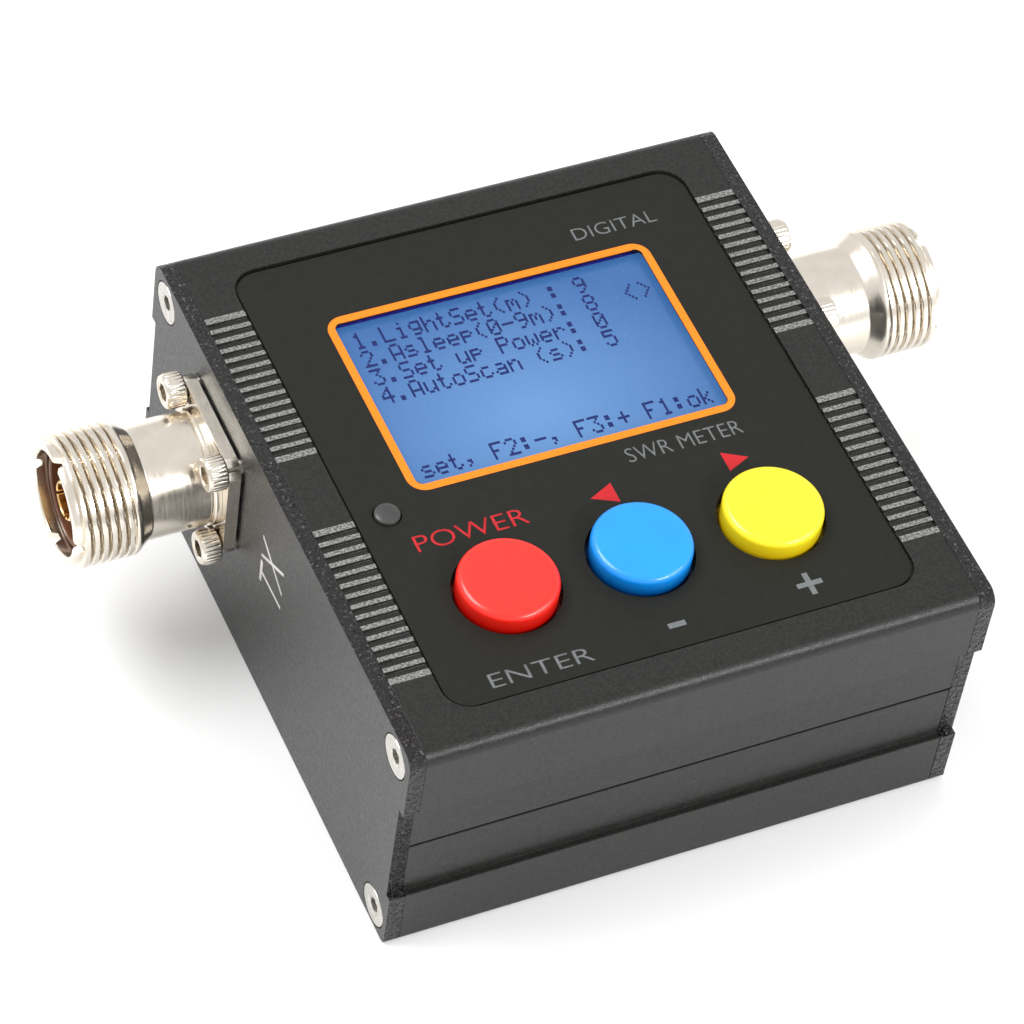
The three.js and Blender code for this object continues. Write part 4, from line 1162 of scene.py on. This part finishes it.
upper_shell()
lower_shell()
for name, side in SIDES.items():
    end_plate(name, side)
    socket_shell(name, side)
    socket_insulator(name, side)
    socket_contact(name, side)
screws()
overlay()
border()
display()
screen_text()
legends()
plate_letters("tx", -1, "TX", (17.4, -3.3), (25.3, 2.8))
plate_letters("ant", 1, "ANT", (14.9, -3.0), (26.9, 3.1))
for name, paint in BUTTONS.items():
    button(name, paint)
lamp()

SLOT_OF = {s["node"]: s["material_slot"] for s in frame["record"]["subparts"]}
for name, node in frame["nodes"].items():
    if not node.hide_render:
        painted(node, SLOT_OF[name])


# ---------------------------------------------------------------- stage, lights and camera


FLOOR_REACH = 3000.0
FLOOR_GAP = 0.2


def stage():
    low, high = -FLOOR_REACH, FLOOR_REACH
    corners = [(low, low, 0), (high, low, 0), (high, high, 0), (low, high, 0)]
    floor = from_lists("floor", corners, [(0, 1, 2, 3)])
    floor.location.z = (LOWER_LOW.z - FLOOR_GAP) * MM
    painted(floor, "floor")


def soft_light(name, place, target, size, power):
    """An area light in metres and watts, at a place and aimed at a target."""
    data = bpy.data.lights.new(name, "AREA")
    data.shape = "RECTANGLE"
    data.size, data.size_y = size
    data.energy = power
    lamp_object = bpy.data.objects.new(name, data)
    bpy.context.scene.collection.objects.link(lamp_object)
    lamp_object.location = place
    aim = Vector(place) - Vector(target)
    lamp_object.rotation_euler = aim.to_track_quat("Z", "Y").to_euler()


def studio():
    bpy.context.scene.view_settings.view_transform = "Standard"
    world = bpy.data.worlds.new("studio")
    bpy.context.scene.world = world
    world.use_nodes = True
    background = world.node_tree.nodes["Background"]
    background.inputs["Color"].default_value = (1.0, 1.0, 1.0, 1.0)
    background.inputs["Strength"].default_value = 0.9
    soft_light("key", (-0.5, 0.35, 0.9), (0, 0, 0.02), (0.7, 0.5), 9.0)
    soft_light("fill", (0.7, -0.5, 0.6), (0, 0, 0.02), (0.5, 0.5), 3.0)
    soft_light("edge", (0.36, -0.84, 0.6), (0, -0.03, 0.03), (0.35, 0.1), 5.0)


CAMERA_TARGET = Vector((-0.0039, 0.0028, 0.0170))
CAMERA_DISTANCE = 0.5469
CAMERA_AZIMUTH = -30.83
CAMERA_ELEVATION = 49.91
CAMERA_ROLL = 9.47
CAMERA_LENS = 166.2


def camera():
    data = bpy.data.cameras.new("camera")
    data.lens = CAMERA_LENS
    data.sensor_width = 36.0
    data.clip_start = 0.01
    made = bpy.data.objects.new("camera", data)
    bpy.context.scene.collection.objects.link(made)
    azimuth, elevation = math.radians(CAMERA_AZIMUTH), math.radians(CAMERA_ELEVATION)
    back = Vector((
        math.sin(azimuth) * math.cos(elevation),
        -math.cos(azimuth) * math.cos(elevation),
        math.sin(elevation),
    ))
    level = Vector((math.cos(azimuth), math.sin(azimuth), 0))
    rise = back.cross(level)
    roll = math.radians(CAMERA_ROLL)
    right = level * math.cos(roll) + rise * math.sin(roll)
    up = back.cross(right)
    made.matrix_world = Matrix.LocRotScale(
        CAMERA_TARGET + back * CAMERA_DISTANCE,
        Matrix((right, up, back)).transposed(),
        None,
    )
    bpy.context.scene.camera = made


stage()
studio()
camera()
